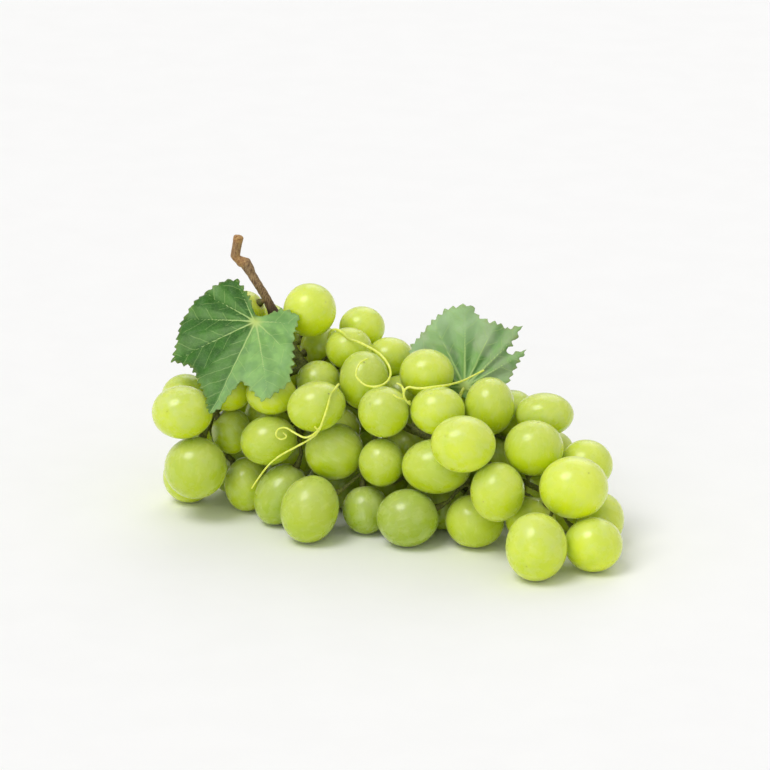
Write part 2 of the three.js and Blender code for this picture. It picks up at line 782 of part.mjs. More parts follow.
function layOnFront(line, fixed) {
  const depths = line.map(restingDepth);
  const known = depths.map((depth, i) => ({ depth, i })).filter(({ depth }) => depth !== null);
  line.forEach((point, i) => {
    if (i < fixed) return;
    const near = known.reduce((a, b) => (Math.abs(b.i - i) < Math.abs(a.i - i) ? b : a));
    point.addScaledVector(DEPTH, near.depth);
  });
  for (let round = 0; round < LAY_ROUNDS; round += 1) {
    for (let i = Math.max(fixed, 1); i < line.length; i += 1) {
      const after = line[i + 1] ?? line[i];
      const mean = (line[i - 1].dot(DEPTH) + after.dot(DEPTH)) / 2;
      line[i].addScaledVector(DEPTH, (mean - line[i].dot(DEPTH)) / 2);
      while (berries.some((berry) => outside(berry, line[i]).distance < TENDRIL_CLEARANCE)) {
        line[i].addScaledVector(DEPTH, -LAY_STEP / 2);
      }
    }
  }
}

function tendrilStems({ root, lines }) {
  const stems = [];
  let main = null;
  for (const rows of lines) {
    const flat = rows.map(([across, up]) => onFront(across, up, 0));
    const curve = new THREE.CatmullRomCurve3(flat, false, 'centripetal');
    const count = Math.max(2, Math.round(curve.getLength() / TENDRIL_SPACING));
    let points = curve.getSpacedPoints(count);
    if (main === null) {
      layOnFront(points, 0);
      main = points;
      const way = [...root.map((row) => onFront(...row)), points[0]];
      pushClear(way[0], TENDRIL_CLEARANCE);
      points = [...threadBetween(way, TENDRIL_CLEARANCE, TENDRIL_SPACING).slice(0, -1), ...points];
    } else {
      points[0] = nearestOf(main, onFrontAt(points[0], main));
      layOnFront(points, 1);
    }
    const radii = [TENDRIL_RADIUS, TENDRIL_RADIUS];
    stems.push({ points, radii, sides: TENDRIL_SIDES, steps: points.length - 1 });
  }
  return stems;
}

// A flat point moved to the depth of the line's point that lies nearest across and up
function onFrontAt(point, line) {
  const flatGaps = line.map((other) => {
    const gap = other.clone().sub(point);
    return gap.addScaledVector(DEPTH, -gap.dot(DEPTH)).length();
  });
  const near = line[flatGaps.indexOf(Math.min(...flatGaps))];
  return point.clone().addScaledVector(DEPTH, near.dot(DEPTH) - point.dot(DEPTH));
}

// The bunch: each piece is kept clear of the ones placed before it
const bunch = new THREE.Group();
function addPiece(name, geometry, colour, roughness) {
  const material = new THREE.MeshStandardMaterial({ color: colour, roughness, metalness: 0 });
  const mesh = new THREE.Mesh(geometry, material);
  mesh.name = name;
  bunch.add(mesh);
}

let taken = null;
function placeStems(stems, others) {
  let solid = clearOf(stemsSolid(stems, 0), others);
  if (taken !== null) solid = solid.subtract(taken);
  const room = stemsSolid(stems, GAP);
  taken = taken === null ? room : taken.add(room);
  return solid;
}

const stalk = placeStems(stalkStems(), berries);
addPiece('stalk', geometryOf(largestBody(stalk)), '#78553c', 0.8);

for (const berry of separateBerries) {
  addPiece(berry.name, geometryOf(aboveSurface(berrySolid(berry, 0))), '#bcd63c', 0.25);
}

for (const group of [...Object.keys(FACING_SPRIG_BERRIES), ...Object.keys(REAR_SPRIG_BERRIES)]) {
  const members = berries.filter((berry) => berry.group === group);
  const others = berries.filter((berry) => berry.group !== group);
  const stems = placeStems(sprigStems(members), others);
  const sprig = members.reduce((whole, berry) => whole.add(berrySolid(berry, 0)), stems);
  addPiece(group, geometryOf(aboveSurface(largestBody(sprig))), '#aec83a', 0.3);
}

for (const [name, leaf] of Object.entries(LEAVES)) {
  const sheet = leafSheet(leaf);
  const whole = bladeSolid(sheet, LEAF_THICKNESS).add(petioleSolid(sheet.points[0], leaf));
  const solid = clearOf(whole, berries).subtract(taken);
  addPiece(name, geometryOf(largestBody(solid)), '#4f8a3c', 0.6);
  taken = taken.add(bladeSolid(sheet, LEAF_THICKNESS + 2 * GAP));
}

for (const [name, tendril] of Object.entries(TENDRILS)) {
  const solid = placeStems(tendrilStems(tendril), berries);
  addPiece(name, geometryOf(largestBody(solid)), '#e6f06e', 0.4);
}

const assembly = new THREE.Group();
bunch.rotation.z = radians(LAY_TURN);
bunch.position.set(BUNCH_X, BUNCH_Y, 0);
assembly.add(bunch);

export default assembly;
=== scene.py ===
# A bunch of green table grapes lying on its side: the fine berries, stems, leaves and tendrils
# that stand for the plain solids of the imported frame. Places come from the frame, in metres.
import math

import bmesh
import bpy
import numpy as np
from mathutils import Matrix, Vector
from mathutils.bvhtree import BVHTree
from mathutils.geometry import delaunay_2d_cdt


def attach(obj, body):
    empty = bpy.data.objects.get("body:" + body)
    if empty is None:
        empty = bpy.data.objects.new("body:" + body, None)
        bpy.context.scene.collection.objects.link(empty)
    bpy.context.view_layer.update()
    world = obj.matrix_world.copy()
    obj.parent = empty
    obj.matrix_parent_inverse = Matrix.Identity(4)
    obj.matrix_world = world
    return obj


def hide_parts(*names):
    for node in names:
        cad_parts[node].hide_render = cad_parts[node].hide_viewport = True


MM = 0.001
TINY = 1e-9

# How the bunch was laid: the slope of its front, its turn and its shift (degrees and mm)
FRONT_SLOPE = math.radians(19)
LAY_TURN = math.radians(32.6)
BUNCH_SHIFT = np.array([26.9, -58.7, 0])

# Berries (mm, and counts of the grid round the stem axis)
BERRY_SEGMENTS = 44
BERRY_RINGS = 30
POLE_CROWDING = 0.55
DIMPLE_DEPTH = 0.9
DIMPLE_RADIUS = 2.1
SCAR_RADIUS = 0.4

# Stems, tendrils and petioles (mm)
STEM_VOXEL = 0.34
TENDRIL_VOXEL = 0.17
TENDRIL_RADIUS = 0.47
TENDRIL_SPACING = 2.8
PETIOLE_RADIUS = 0.95
CLEAR = 0.3

# Leaves (mm, and counts for the draping)
BLADE_THICKNESS = 0.42
BLADE_GRID = 0.62
TOOTH_LENGTH = 3.4
TOOTH_HEIGHT = 1.6
VEIN_SPACING = 6.2
SHARP_BEND = 0.2
PLEAT_HEIGHT = 0.9
DRAPE_ROUNDS = 90
DRAPE_RINGS = (0.2, 0.4, 0.6, 0.8, 1.0)
DRAPE_CLEARANCE = 1.4

# Leaves on the front plane (mm): heart, tip and a place on each half as across, up and depth; the
# outline of each half and the veins as degrees from the midrib and reach; how much painted light each
# half gets, paler as if lit, and the strength of the leaf's painted glare and pleat shading
LEAVES = {
    "left_leaf": {
        "heart": (-48.7, 97.2, 60), "tip": (-65.3, 62.1, 40),
        "sides": ((-80.4, 81.3, 60), (-41.1, 69.6, 40)),
        "outlines": (
            ((0, 45.5), (6, 39.5), (21, 32.7), (34, 30.8), (46, 36), (58, 32.3), (79, 31.4),
             (95, 28.8), (114, 26.9), (125, 25.9), (137, 22.2), (145, 12.7), (160, 4)),
            ((0, 45.5), (7, 37), (12, 28.5), (18, 30.5), (28, 37.3), (38, 35.5), (48, 32.3), (58, 26.5),
             (70, 21.5), (90, 18.5), (118, 19.8), (131, 12.5), (150, 4)),
        ),
        "veins": ((0, 42), (47, 36), (81, 31), (107, 26), (136, 20), (-32, 37), (-63, 22), (-104, 16)),
        "petiole": ((-44.5, 96.5, 69), (-43, 96.5, 77)),
        "painted_light": (0.0, 1.0),
        "painted_light_strength": 0.1,
        "seed": 3,
    },
    "right_leaf": {
        "heart": (30.6, 71.5, 50), "tip": (43.4, 96.4, 54),
        "sides": ((10.9, 89.6, 57), (52.8, 84.7, 48)),
        "outlines": (
            ((0, 28), (8, 27), (17, 28.5), (23, 32.5), (40, 32.5), (50, 30), (62, 28), (75, 27.5),
             (95, 24), (120, 18), (145, 8), (165, 4)),
            ((0, 28), (9, 28), (14, 30), (17.5, 33), (19.5, 26), (22, 21.3), (27, 21.6), (31, 25.5),
             (33, 28.2), (37, 23.5), (46, 20), (62, 17), (90, 15), (120, 13), (150, 5)),
        ),
        "veins": ((2, 28), (27, 32), (52, 30), (80, 27), (112, 20), (-19, 31), (-35, 26), (-62, 17),
                  (-95, 14)),
        "petiole": ((27, 64, 50), (21, 54, 47)),
        "painted_light": (0.8, 0.25),
        "painted_light_strength": 0.8,
        "seed": 8,
    },
}

# Tendrils on the front plane (mm): the root as across, up and depth, the lines as across and up
TENDRILS = {
    "left_tendril": {
        "root": ((-15.5, 70, 60), (-18.5, 73.5, 51)),
        "lines": (
            ((-20.4, 69), (-22.6, 61.5), (-25.3, 55), (-28, 52.5), (-34, 49), (-39.5, 46),
             (-44, 42.5), (-48, 37.5), (-51, 33)),
            ((-25.3, 55), (-30, 52.7), (-34, 54.3), (-37.7, 56.4), (-40.7, 55.8), (-41.5, 53.6),
             (-39.7, 51.9), (-37.5, 52.6), (-37.2, 54.2), (-38.8, 54.6)),
            ((-25.3, 55), (-26.5, 57)),
        ),
    },
    "loop_tendril": {
        "root": ((-22, 84, 69), (-17, 91, 66)),
        "lines": (
            ((-14, 90.4), (-10, 89), (-5.3, 86.6), (-2.3, 84.7), (0.4, 81.7), (1.9, 78.7),
             (1.9, 75.7), (-0.4, 73), (-5.3, 72), (-8.7, 73.4), (-10.9, 76), (-10.6, 78.7),
             (-8.7, 81.7), (-6.4, 82.6)),
        ),
    },
    "right_tendril": {
        "root": ((12, 62, 55), (10.5, 64, 44)),
        "lines": (
            ((9.4, 65.3), (7.5, 67.4), (7, 70), (8.5, 71.8), (12.5, 71.3), (17.7, 71.9),
             (23.4, 72.6), (29.4, 74.2), (33.2, 76), (37.7, 78.3)),
            ((7, 70), (6.6, 72), (4.2, 73.4)),
            ((7.5, 67.4), (5.5, 67.6), (3, 69)),
        ),
    },
}

# Places on the stalk that its colour follows, as laid (mm)
CUT_END = (-56.8, 108, 100.5)
KNUCKLE = (-56.6, 107.8, 91)
STALK_BASE = (-42.5, 103.5, 69)

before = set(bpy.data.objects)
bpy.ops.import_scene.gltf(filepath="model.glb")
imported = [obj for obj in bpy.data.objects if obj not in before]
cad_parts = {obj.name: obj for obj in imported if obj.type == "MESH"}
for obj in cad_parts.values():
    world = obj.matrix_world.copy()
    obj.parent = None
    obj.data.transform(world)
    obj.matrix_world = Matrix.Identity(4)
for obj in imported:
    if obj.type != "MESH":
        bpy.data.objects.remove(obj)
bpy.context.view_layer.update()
rng = np.random.default_rng(20)


# Places ----------

TURN = np.array([
    [math.cos(LAY_TURN), -math.sin(LAY_TURN), 0],
    [math.sin(LAY_TURN), math.cos(LAY_TURN), 0],
    [0, 0, 1],
])
ACROSS = TURN @ np.array([1, 0, 0])
UP = TURN @ np.array([0, math.sin(FRONT_SLOPE), math.cos(FRONT_SLOPE)])
DEPTH = TURN @ np.array([0, math.cos(FRONT_SLOPE), -math.sin(FRONT_SLOPE)])


def on_front(across, up, depth):
    """A place given on the leaning front plane, in the part's frame (mm)."""
    return across * ACROSS + up * UP + depth * DEPTH + BUNCH_SHIFT


def unit(vector):
    return vector / np.linalg.norm(vector)


def norms(vectors):
    return np.linalg.norm(vectors, axis=1)


def columns(values):
    return np.stack(values, axis=1)


def smooth_step(low, high, value):
    """A share that eases from 0 to 1 between two values."""
    share = np.clip((value - low) / (high - low), 0, 1)
    return share * share * (3 - 2 * share)


def mound(distances, width):
    """A rounded bump, 1 in its middle and near 0 at twice its width."""
    return np.exp(-(distances / width) ** 2)


WAVE_COUNT = 7
WAVE_SPREAD = (0.75, 1.4)


def waves(points, length, seed):
    """A smooth random value from about -1 to 1 at each point, with bumps about that length."""
    draw = np.random.default_rng(seed)
    total = np.zeros(len(points))
    for _ in range(WAVE_COUNT):
        way = unit(draw.normal(size=3)) * math.tau / (length * draw.uniform(*WAVE_SPREAD))
        total += np.sin(points @ way + draw.uniform(0, math.tau))
    return total / math.sqrt(WAVE_COUNT)


# Meshes ----------

WELD_GAP = 0.01
SMOOTHING = 0.5
LATHE_START = (0.31, 0.62, 0.72)


def placed(name, data):
    """A new object in the scene."""
    thing = bpy.data.objects.new(name, data)
    bpy.context.scene.collection.objects.link(thing)
    return thing


def new_piece(name, points, faces, material, nodes, attributes=None):
    """A shown piece from points in mm, standing for CAD nodes, with values at its points."""
    mesh = bpy.data.meshes.new(name)
    mesh.from_pydata((np.asarray(points) * MM).tolist(), [], faces)
    mesh.polygons.foreach_set("use_smooth", [True] * len(mesh.polygons))
    for key, values in (attributes or {}).items():
        layer = mesh.attributes.new(key, "FLOAT_VECTOR", "POINT")
        layer.data.foreach_set("vector", np.asarray(values, np.float32).ravel())
    mesh.update()
    mesh.materials.append(material)
    piece = placed(name, mesh)
    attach(piece, "root")
    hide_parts(*nodes)
    return piece


def welded(node):
    """A CAD node's mesh in mm with its split vertices joined."""
    mesh = bmesh.new()
    mesh.from_mesh(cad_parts[node].data)
    bmesh.ops.scale(mesh, vec=(1 / MM,) * 3, verts=mesh.verts)
    bmesh.ops.remove_doubles(mesh, verts=mesh.verts, dist=WELD_GAP)
    mesh.normal_update()
    return mesh


def solid_of(mesh):
    """A welded mesh's points and faces as plain values."""
    mesh.verts.index_update()
    points = np.array([tuple(v.co) for v in mesh.verts])
    faces = [tuple(v.index for v in face.verts) for face in mesh.faces]
    return points, faces


def lathe(axis_points, radii, sides):
    """Points and faces of a closed turned solid along a line of points."""
    axis_points = np.asarray(axis_points, float)
    ways = np.gradient(axis_points, axis=0)
    side = unit(np.cross(ways[0], LATHE_START))
    points, faces = [axis_points[0]], []
    for place, way, radius in zip(axis_points, ways, radii):
        way = unit(way)
        side = unit(side - way * side.dot(way))
        other = np.cross(way, side)
        for k in range(sides):
            turn = math.tau * k / sides
            points.append(place + radius * (math.cos(turn) * side + math.sin(turn) * other))
    points.append(axis_points[-1])
    rows = len(axis_points)
    for k in range(sides):
        after = (k + 1) % sides
        faces.append((0, 1 + after, 1 + k))
        for row in range(rows - 1):
            here, there = 1 + row * sides, 1 + (row + 1) * sides
            faces.append((here + k, here + after, there + after, there + k))
        last = 1 + (rows - 1) * sides
        faces.append((last + k, last + after, len(points) - 1))
    return np.array(points), faces


def remeshed(solids, voxel, rounds):
    """Several closed solids grown together into one even skin: its points, faces and normals (mm)."""
    mesh = bpy.data.meshes.new("growing")
    points = np.concatenate([solid[0] for solid in solids])
    faces, start = [], 0
    for solid_points, solid_faces in solids:
        faces += [tuple(start + i for i in face) for face in solid_faces]
        start += len(solid_points)
    mesh.from_pydata(points.tolist(), [], faces)
    growing = placed("growing", mesh)
    grow = growing.modifiers.new("grow", "REMESH")
    grow.mode = "VOXEL"
    grow.voxel_size = voxel
    even = growing.modifiers.new("even", "SMOOTH")
    even.factor = SMOOTHING
    even.iterations = rounds
    grown = growing.evaluated_get(bpy.context.evaluated_depsgraph_get()).to_mesh()
    points = np.empty(len(grown.vertices) * 3)
    grown.vertices.foreach_get("co", points)
    normals = np.empty(len(grown.vertices) * 3)
    grown.vertices.foreach_get("normal", normals)
    faces = [tuple(face.vertices) for face in grown.polygons]
    growing.to_mesh_clear()
    bpy.data.objects.remove(growing)
    bpy.data.meshes.remove(mesh)
    return points.reshape(-1, 3), faces, normals.reshape(-1, 3)


def main_body(points, faces, normals):
    """The largest connected part of a skin, without any crumbs beside it."""
    leader = list(range(len(points)))

    def find(corner):
        while leader[corner] != corner:
            leader[corner] = leader[leader[corner]]
            corner = leader[corner]
        return corner

    for face in faces:
        first = find(face[0])
        for corner in face[1:]:
            leader[find(corner)] = first
    roots = np.array([find(corner) for corner in range(len(points))])
    keep = roots == np.bincount(roots).argmax()
    number = np.cumsum(keep) - 1
    kept = [tuple(int(number[corner]) for corner in face) for face in faces if keep[face[0]]]
    return points[keep], kept, normals[keep]


# Berries of the frame ----------

BERRY_THICKNESS = 6.0
BERRY_SKIN_AREA = 100.0
RAY_START = 0.05
FIT_ERROR = 0.12
FIT_ROUNDS = 4
FIT_SCALE = 10
FIT_OUTLIER = 2.5
REST_FLAT = 0.05


def fit_ellipsoid(points):
    """Centre and form of the ellipsoid through the points: (p - centre) . form . (p - centre) = 1."""
    kept = points[points[:, 2] > REST_FLAT]
    for _ in range(FIT_ROUNDS):
        middle = kept.mean(axis=0)
        x, y, z = ((kept - middle) / FIT_SCALE).T
        terms = columns([x * x, y * y, z * z, 2 * y * z, 2 * x * z, 2 * x * y, x, y, z])
        a, b, c, d, e, f, g, h, i = np.linalg.lstsq(terms, np.ones(len(kept)), rcond=None)[0]
        form = np.array([[a, f, e], [f, b, d], [e, d, c]])
        shift = -np.linalg.solve(form, np.array([g, h, i]) / 2)
        form = form / (1 + shift @ form @ shift) / FIT_SCALE**2
        centre = middle + shift * FIT_SCALE
        errors = np.abs(skin_distance(kept, centre, form))
        if errors.max() < FIT_ERROR:
            break
        kept = kept[errors < max(FIT_ERROR, np.median(errors) * FIT_OUTLIER)]
    return centre, form


def skin_gaps(points, centre, form):
    """Distance of each point from an ellipsoid's skin, negative inside, and the way out there."""
    offsets = points - centre
    pulls = offsets @ form
    first = np.sqrt(np.einsum("ij,ij->i", offsets, pulls))
    lengths = norms(pulls)
    return first * (first - 1) / lengths, pulls / lengths[:, None]


def skin_distance(points, centre, form):
    return skin_gaps(points, centre, form)[0]


def islands(faces):
    """Groups of faces joined by their edges, in the order of the faces given."""
    left, groups = set(faces), []
    for first in faces:
        if first not in left:
            continue
        left.remove(first)
        group, waiting = [], [first]
        while waiting:
            face = waiting.pop()
            group.append(face)
            for edge in face.edges:
                for other in edge.link_faces:
                    if other in left:
                        left.remove(other)
                        waiting.append(other)
        groups.append(group)
    return groups


def sprig_parts(node):
    """The berries of a joined sprig, with where each stem enters, and the solid of its stems."""
    mesh = welded(node)
    tree = BVHTree.FromBMesh(mesh)
    deep = []
    for face in mesh.faces:
        start = face.calc_center_median() - face.normal * RAY_START
        reach = tree.ray_cast(start, -face.normal)[3]
        if reach is not None and reach > BERRY_THICKNESS:
            deep.append(face)
    skins = [s for s in islands(deep) if sum(f.calc_area() for f in s) > BERRY_SKIN_AREA]
    found = []
    for skin in skins:
        inside = set(skin)
        corners = list(dict.fromkeys(v for face in skin for v in face.verts))
        joint = [v for v in corners if any(face not in inside for face in v.link_faces)]
        centre, form = fit_ellipsoid(np.array([tuple(v.co) for v in corners]))
        entry = np.mean([tuple(v.co) for v in joint], axis=0) if joint else None
        found.append((centre, form, entry))
    skin_faces = [face for skin in skins for face in skin]
    bmesh.ops.delete(mesh, geom=skin_faces, context="FACES")
    bmesh.ops.holes_fill(mesh, edges=mesh.edges, sides=0)
    bmesh.ops.triangulate(mesh, faces=mesh.faces)
    stems = solid_of(mesh)
    mesh.free()
    return found, stems


def node_solid(node):
    """A node's points and faces, and each face's middle and normal."""
    mesh = welded(node)
    points, faces = solid_of(mesh)
    middles = np.array([tuple(face.calc_center_median()) for face in mesh.faces])
    normals = np.array([tuple(face.normal) for face in mesh.faces])
    mesh.free()
    return points, faces, middles, normals


# A pedicel's end face: its distance from the berry's skin, how far that may be off, its width (mm),
# how squarely it looks into the berry, and by how much its own triangles differ in that
CAP_GAP = 0.45
CAP_REACH = 0.65
CAP_WIDTH = 1.3
CAP_FACING = 0.8
CAP_EVENNESS = 0.01


def stem_entry(centre, form, middles, normals):
    """Where the stalk's pedicel meets a berry: the end face that looks most squarely into it."""
    miss = np.abs(skin_distance(middles, centre, form) - CAP_GAP)
    inward = centre - middles
    inward /= norms(inward)[:, None]
    facing = np.einsum("ij,ij->i", inward, normals)
    caps = (miss < CAP_REACH) & (facing > CAP_FACING)
    if not caps.any():
        return None
    best = np.argmax(np.where(caps, facing - miss / 2, -1))
    caps &= norms(middles - middles[best]) < CAP_WIDTH
    caps &= facing > facing[best] - CAP_EVENNESS
    return middles[caps].mean(axis=0)


berries = []


def add_berry(name, node, centre, form, entry):
    """Notes a berry with its axis toward the place where its stem enters, upright without one."""
    pole = np.array([0.0, 0.0, 1.0]) if entry is None else unit(entry - centre)
    berries.append({"name": name, "node": node, "centre": centre, "form": form,
                    "pole": pole, "fed": entry is not None})


stalk_points, stalk_faces, stalk_middles, stalk_normals = node_solid("stalk")
sprig_stems = {}
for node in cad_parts:
    if "sprig" in node:
        found, sprig_stems[node] = sprig_parts(node)
        for number, (centre, form, entry) in enumerate(found, 1):
            add_berry(f"{node}_grape_{number}", node, centre, form, entry)
    elif "berry" in node:
        centre, form = fit_ellipsoid(node_solid(node)[0])
        entry = stem_entry(centre, form, stalk_middles, stalk_normals)
        add_berry(node.replace("berry", "grape"), node, centre, form, entry)


def push_clear(points, clearance):
    """The points moved out of every berry to a clearance, and up off the surface."""
    points = points.copy()
    for berry in berries:
        gaps, ways = skin_gaps(points, berry["centre"], berry["form"])
        points += ways * np.maximum(clearance - gaps, 0)[:, None]
    points[:, 2] = np.maximum(points[:, 2], clearance)
    return points


def gap_to_berries(points):
    """Distance of each point from the nearest berry."""
    return np.min([skin_distance(points, b["centre"], b["form"]) for b in berries], axis=0)


# Materials ----------

class Nodes:
    """A short way to write a node material."""

    def __init__(self, name):
        self.material = bpy.data.materials.new(name)
        self.material.use_nodes = True
        self.tree = self.material.node_tree
        self.shader = self.tree.nodes["Principled BSDF"]

    def feed(self, socket, value):
        if hasattr(value, "is_output"):
            self.tree.links.new(value, socket)
        else:
            socket.default_value = value

    def make(self, kind, inputs, **settings):
        """The outputs of a new node with these inputs, by name or number, and settings."""
        node = self.tree.nodes.new("ShaderNode" + kind)
        for key, value in settings.items():
            setattr(node, key, value)
        for key, value in inputs.items():
            self.feed(node.inputs[key], value)
        return node.outputs

    def value(self, key):
        return self.make("Attribute", {}, attribute_name=key)["Vector"]

    def parts(self, vector):
        return self.make("SeparateXYZ", {0: vector})

    def math(self, operation, *values):
        return self.make("Math", dict(enumerate(values)), operation=operation)[0]

    def vector_math(self, operation, vector, other):
        return self.make("VectorMath", {0: vector, 1: other}, operation=operation)[0]

    def noise(self, vector, scale, detail=3.0, roughness=0.5):
        inputs = {"Vector": vector, "Scale": scale, "Detail": detail, "Roughness": roughness}
        return self.make("TexNoise", inputs)["Fac"]

    def cells(self, vector, scale, feature="F1"):
        return self.make("TexVoronoi", {"Vector": vector, "Scale": scale}, feature=feature)["Distance"]

    def ramp(self, value, low, high, start=0.0, end=1.0):
        inputs = {"Value": value, "From Min": low, "From Max": high, "To Min": start, "To Max": end}
        return self.make("MapRange", inputs, interpolation_type="SMOOTHSTEP")["Result"]

    def mix(self, factor, *colours):
        first, second = [c if hasattr(c, "is_output") else (*c, 1) for c in colours]
        return self.make("Mix", {"Factor": factor, 6: first, 7: second}, data_type="RGBA")[2]

    def layers(self, base, *rows):
        """A colour with others laid over it in turn, each by its share and strength."""
        for share, strength, colour in rows:
            base = self.mix(self.math("MULTIPLY", share, strength), base, colour)
        return base

    def bump(self, height, distance, strength=1.0):
        inputs = {"Height": height, "Distance": distance * MM, "Strength": strength}
        self.feed(self.shader.inputs["Normal"], self.make("Bump", inputs)["Normal"])

    def set(self, **values):
        for key, value in values.items():
            self.feed(self.shader.inputs[key.replace("_", " ")], value)


def grape_skin():
    """Translucent yellow-green skin: veins of the flesh, bloom, lenticels, scars at both ends; painted
    light: paler where the skin faces up, as if lit from above, and a saturated painted glow where it
    faces down.
    """
    n = Nodes("grape_skin")
    skin = n.value("skin")
    tone = n.parts(n.value("tone"))
    height = n.parts(skin)[2]
    shift = n.vector_math("MULTIPLY", n.value("tone"), (17, 31, 23))
    shifted = n.vector_math("ADD", skin, shift)
    # painted light: the skin's world direction mixes a deep saturated painted glow below with a paler
    # painted lit colour above
    painted_light_side = n.parts(n.value("facing"))[2]
    deep = n.mix(tone[0], (0.25, 0.39, 0.002), (0.76, 0.88, 0.001))
    light = n.mix(tone[0], (0.36, 0.46, 0.120), (0.76, 0.85, 0.130))
    base = n.mix(n.ramp(painted_light_side, -0.45, 0.85), deep, light)
    patches = n.ramp(n.noise(shifted, 1.3, 2.0), 0.35, 0.7)
    flesh = n.ramp(n.noise(n.vector_math("MULTIPLY", shifted, (1, 1, 0.14)), 7.0, 2.0), 0.48, 0.8)
    bloom = n.ramp(n.noise(shifted, 2.2, 3.0, 0.55), 0.4, 0.75)
    dots = n.ramp(n.cells(shifted, 11.0), 0.035, 0.075, 1.0, 0.0)
    thin_out = n.ramp(n.noise(shifted, 1.9, 1.0), 0.5, 0.62)
    base = n.layers(
        base,
        (patches, 0.22, (0.40, 0.58, 0.03)),
        (flesh, 0.24, (0.86, 0.92, 0.40)),
        (bloom, n.math("MULTIPLY", tone[1], 0.30), (0.72, 0.80, 0.48)),
        (n.math("MULTIPLY", dots, thin_out), 0.55, (0.20, 0.17, 0.03)),
        (n.ramp(height, 0.955, 0.995), 0.7, (0.42, 0.38, 0.05)),
        (n.ramp(height, -0.9990, -0.9997), n.ramp(tone[2], 0.3, 1.0, 0.2, 0.8), (0.24, 0.19, 0.05)),
    )
    n.set(Base_Color=base, Roughness=n.ramp(bloom, 0.0, 1.0, 0.26, 0.4), IOR=1.45)
    n.set(Subsurface_Weight=1.0, Subsurface_Radius=(1.0, 0.95, 0.12), Subsurface_Scale=0.004)
    n.set(Coat_Weight=0.4, Coat_Roughness=0.16)
    n.set(Sheen_Weight=0.12, Sheen_Roughness=0.3)
    n.bump(n.noise(shifted, 42.0, 2.0), 0.03)
    return n.material


def stem_bark():
    """Woody stalk: streaky brown outside the bunch, olive within it, darkened as painted shade in the
    gaps between berries, orange at the cut end.
    """
    n = Nodes("stem_bark")
    bark = n.parts(n.value("bark"))
    grain = n.value("grain")
    streaks = n.noise(n.vector_math("MULTIPLY", grain, (1, 1, 0.16)), 2.6, 4.0, 0.65)
    specks = n.noise(grain, 1.4, 3.0, 0.7)
    brown = n.mix(n.ramp(streaks, 0.38, 0.6), (0.130, 0.070, 0.035), (0.38, 0.25, 0.12))
    # painted shade: the green stems inside the bunch get a dark olive that stands for the shade in the
    # gaps between berries
    olive_and_painted_shade = n.mix(n.ramp(specks, 0.35, 0.65), (0.060, 0.075, 0.012), (0.19, 0.23, 0.035))
    base = n.mix(bark[0], olive_and_painted_shade, brown)
    orange = n.mix(n.ramp(specks, 0.3, 0.7), (0.25, 0.095, 0.025), (0.58, 0.36, 0.13))
    base = n.mix(bark[1], base, orange)
    base = n.mix(bark[2], base, (0.045, 0.020, 0.018))
    n.set(Base_Color=base, Roughness=n.ramp(specks, 0.2, 0.8, 0.5, 0.8), IOR=1.45)
    n.bump(n.math("ADD", streaks, specks), 0.14, 0.7)
    return n.material


def tendril_skin():
    """Young tendril: smooth pale yellow-green, greener toward its root."""
    n = Nodes("tendril_skin")
    along = n.parts(n.value("grain"))[0]
    mottle = n.noise(n.value("grain"), 0.8, 3.0)
    base = n.mix(n.ramp(mottle, 0.35, 0.7), (0.76, 0.84, 0.10), (0.90, 0.95, 0.26))
    base = n.mix(n.ramp(along, 0.0, 6.0, 0.6, 0.0), base, (0.42, 0.50, 0.06))
    n.set(Base_Color=base, Roughness=0.38, IOR=1.42)
    n.set(Subsurface_Weight=0.5, Subsurface_Radius=(1.0, 0.9, 0.3), Subsurface_Scale=0.0008)
    n.bump(mottle, 0.05)
    return n.material


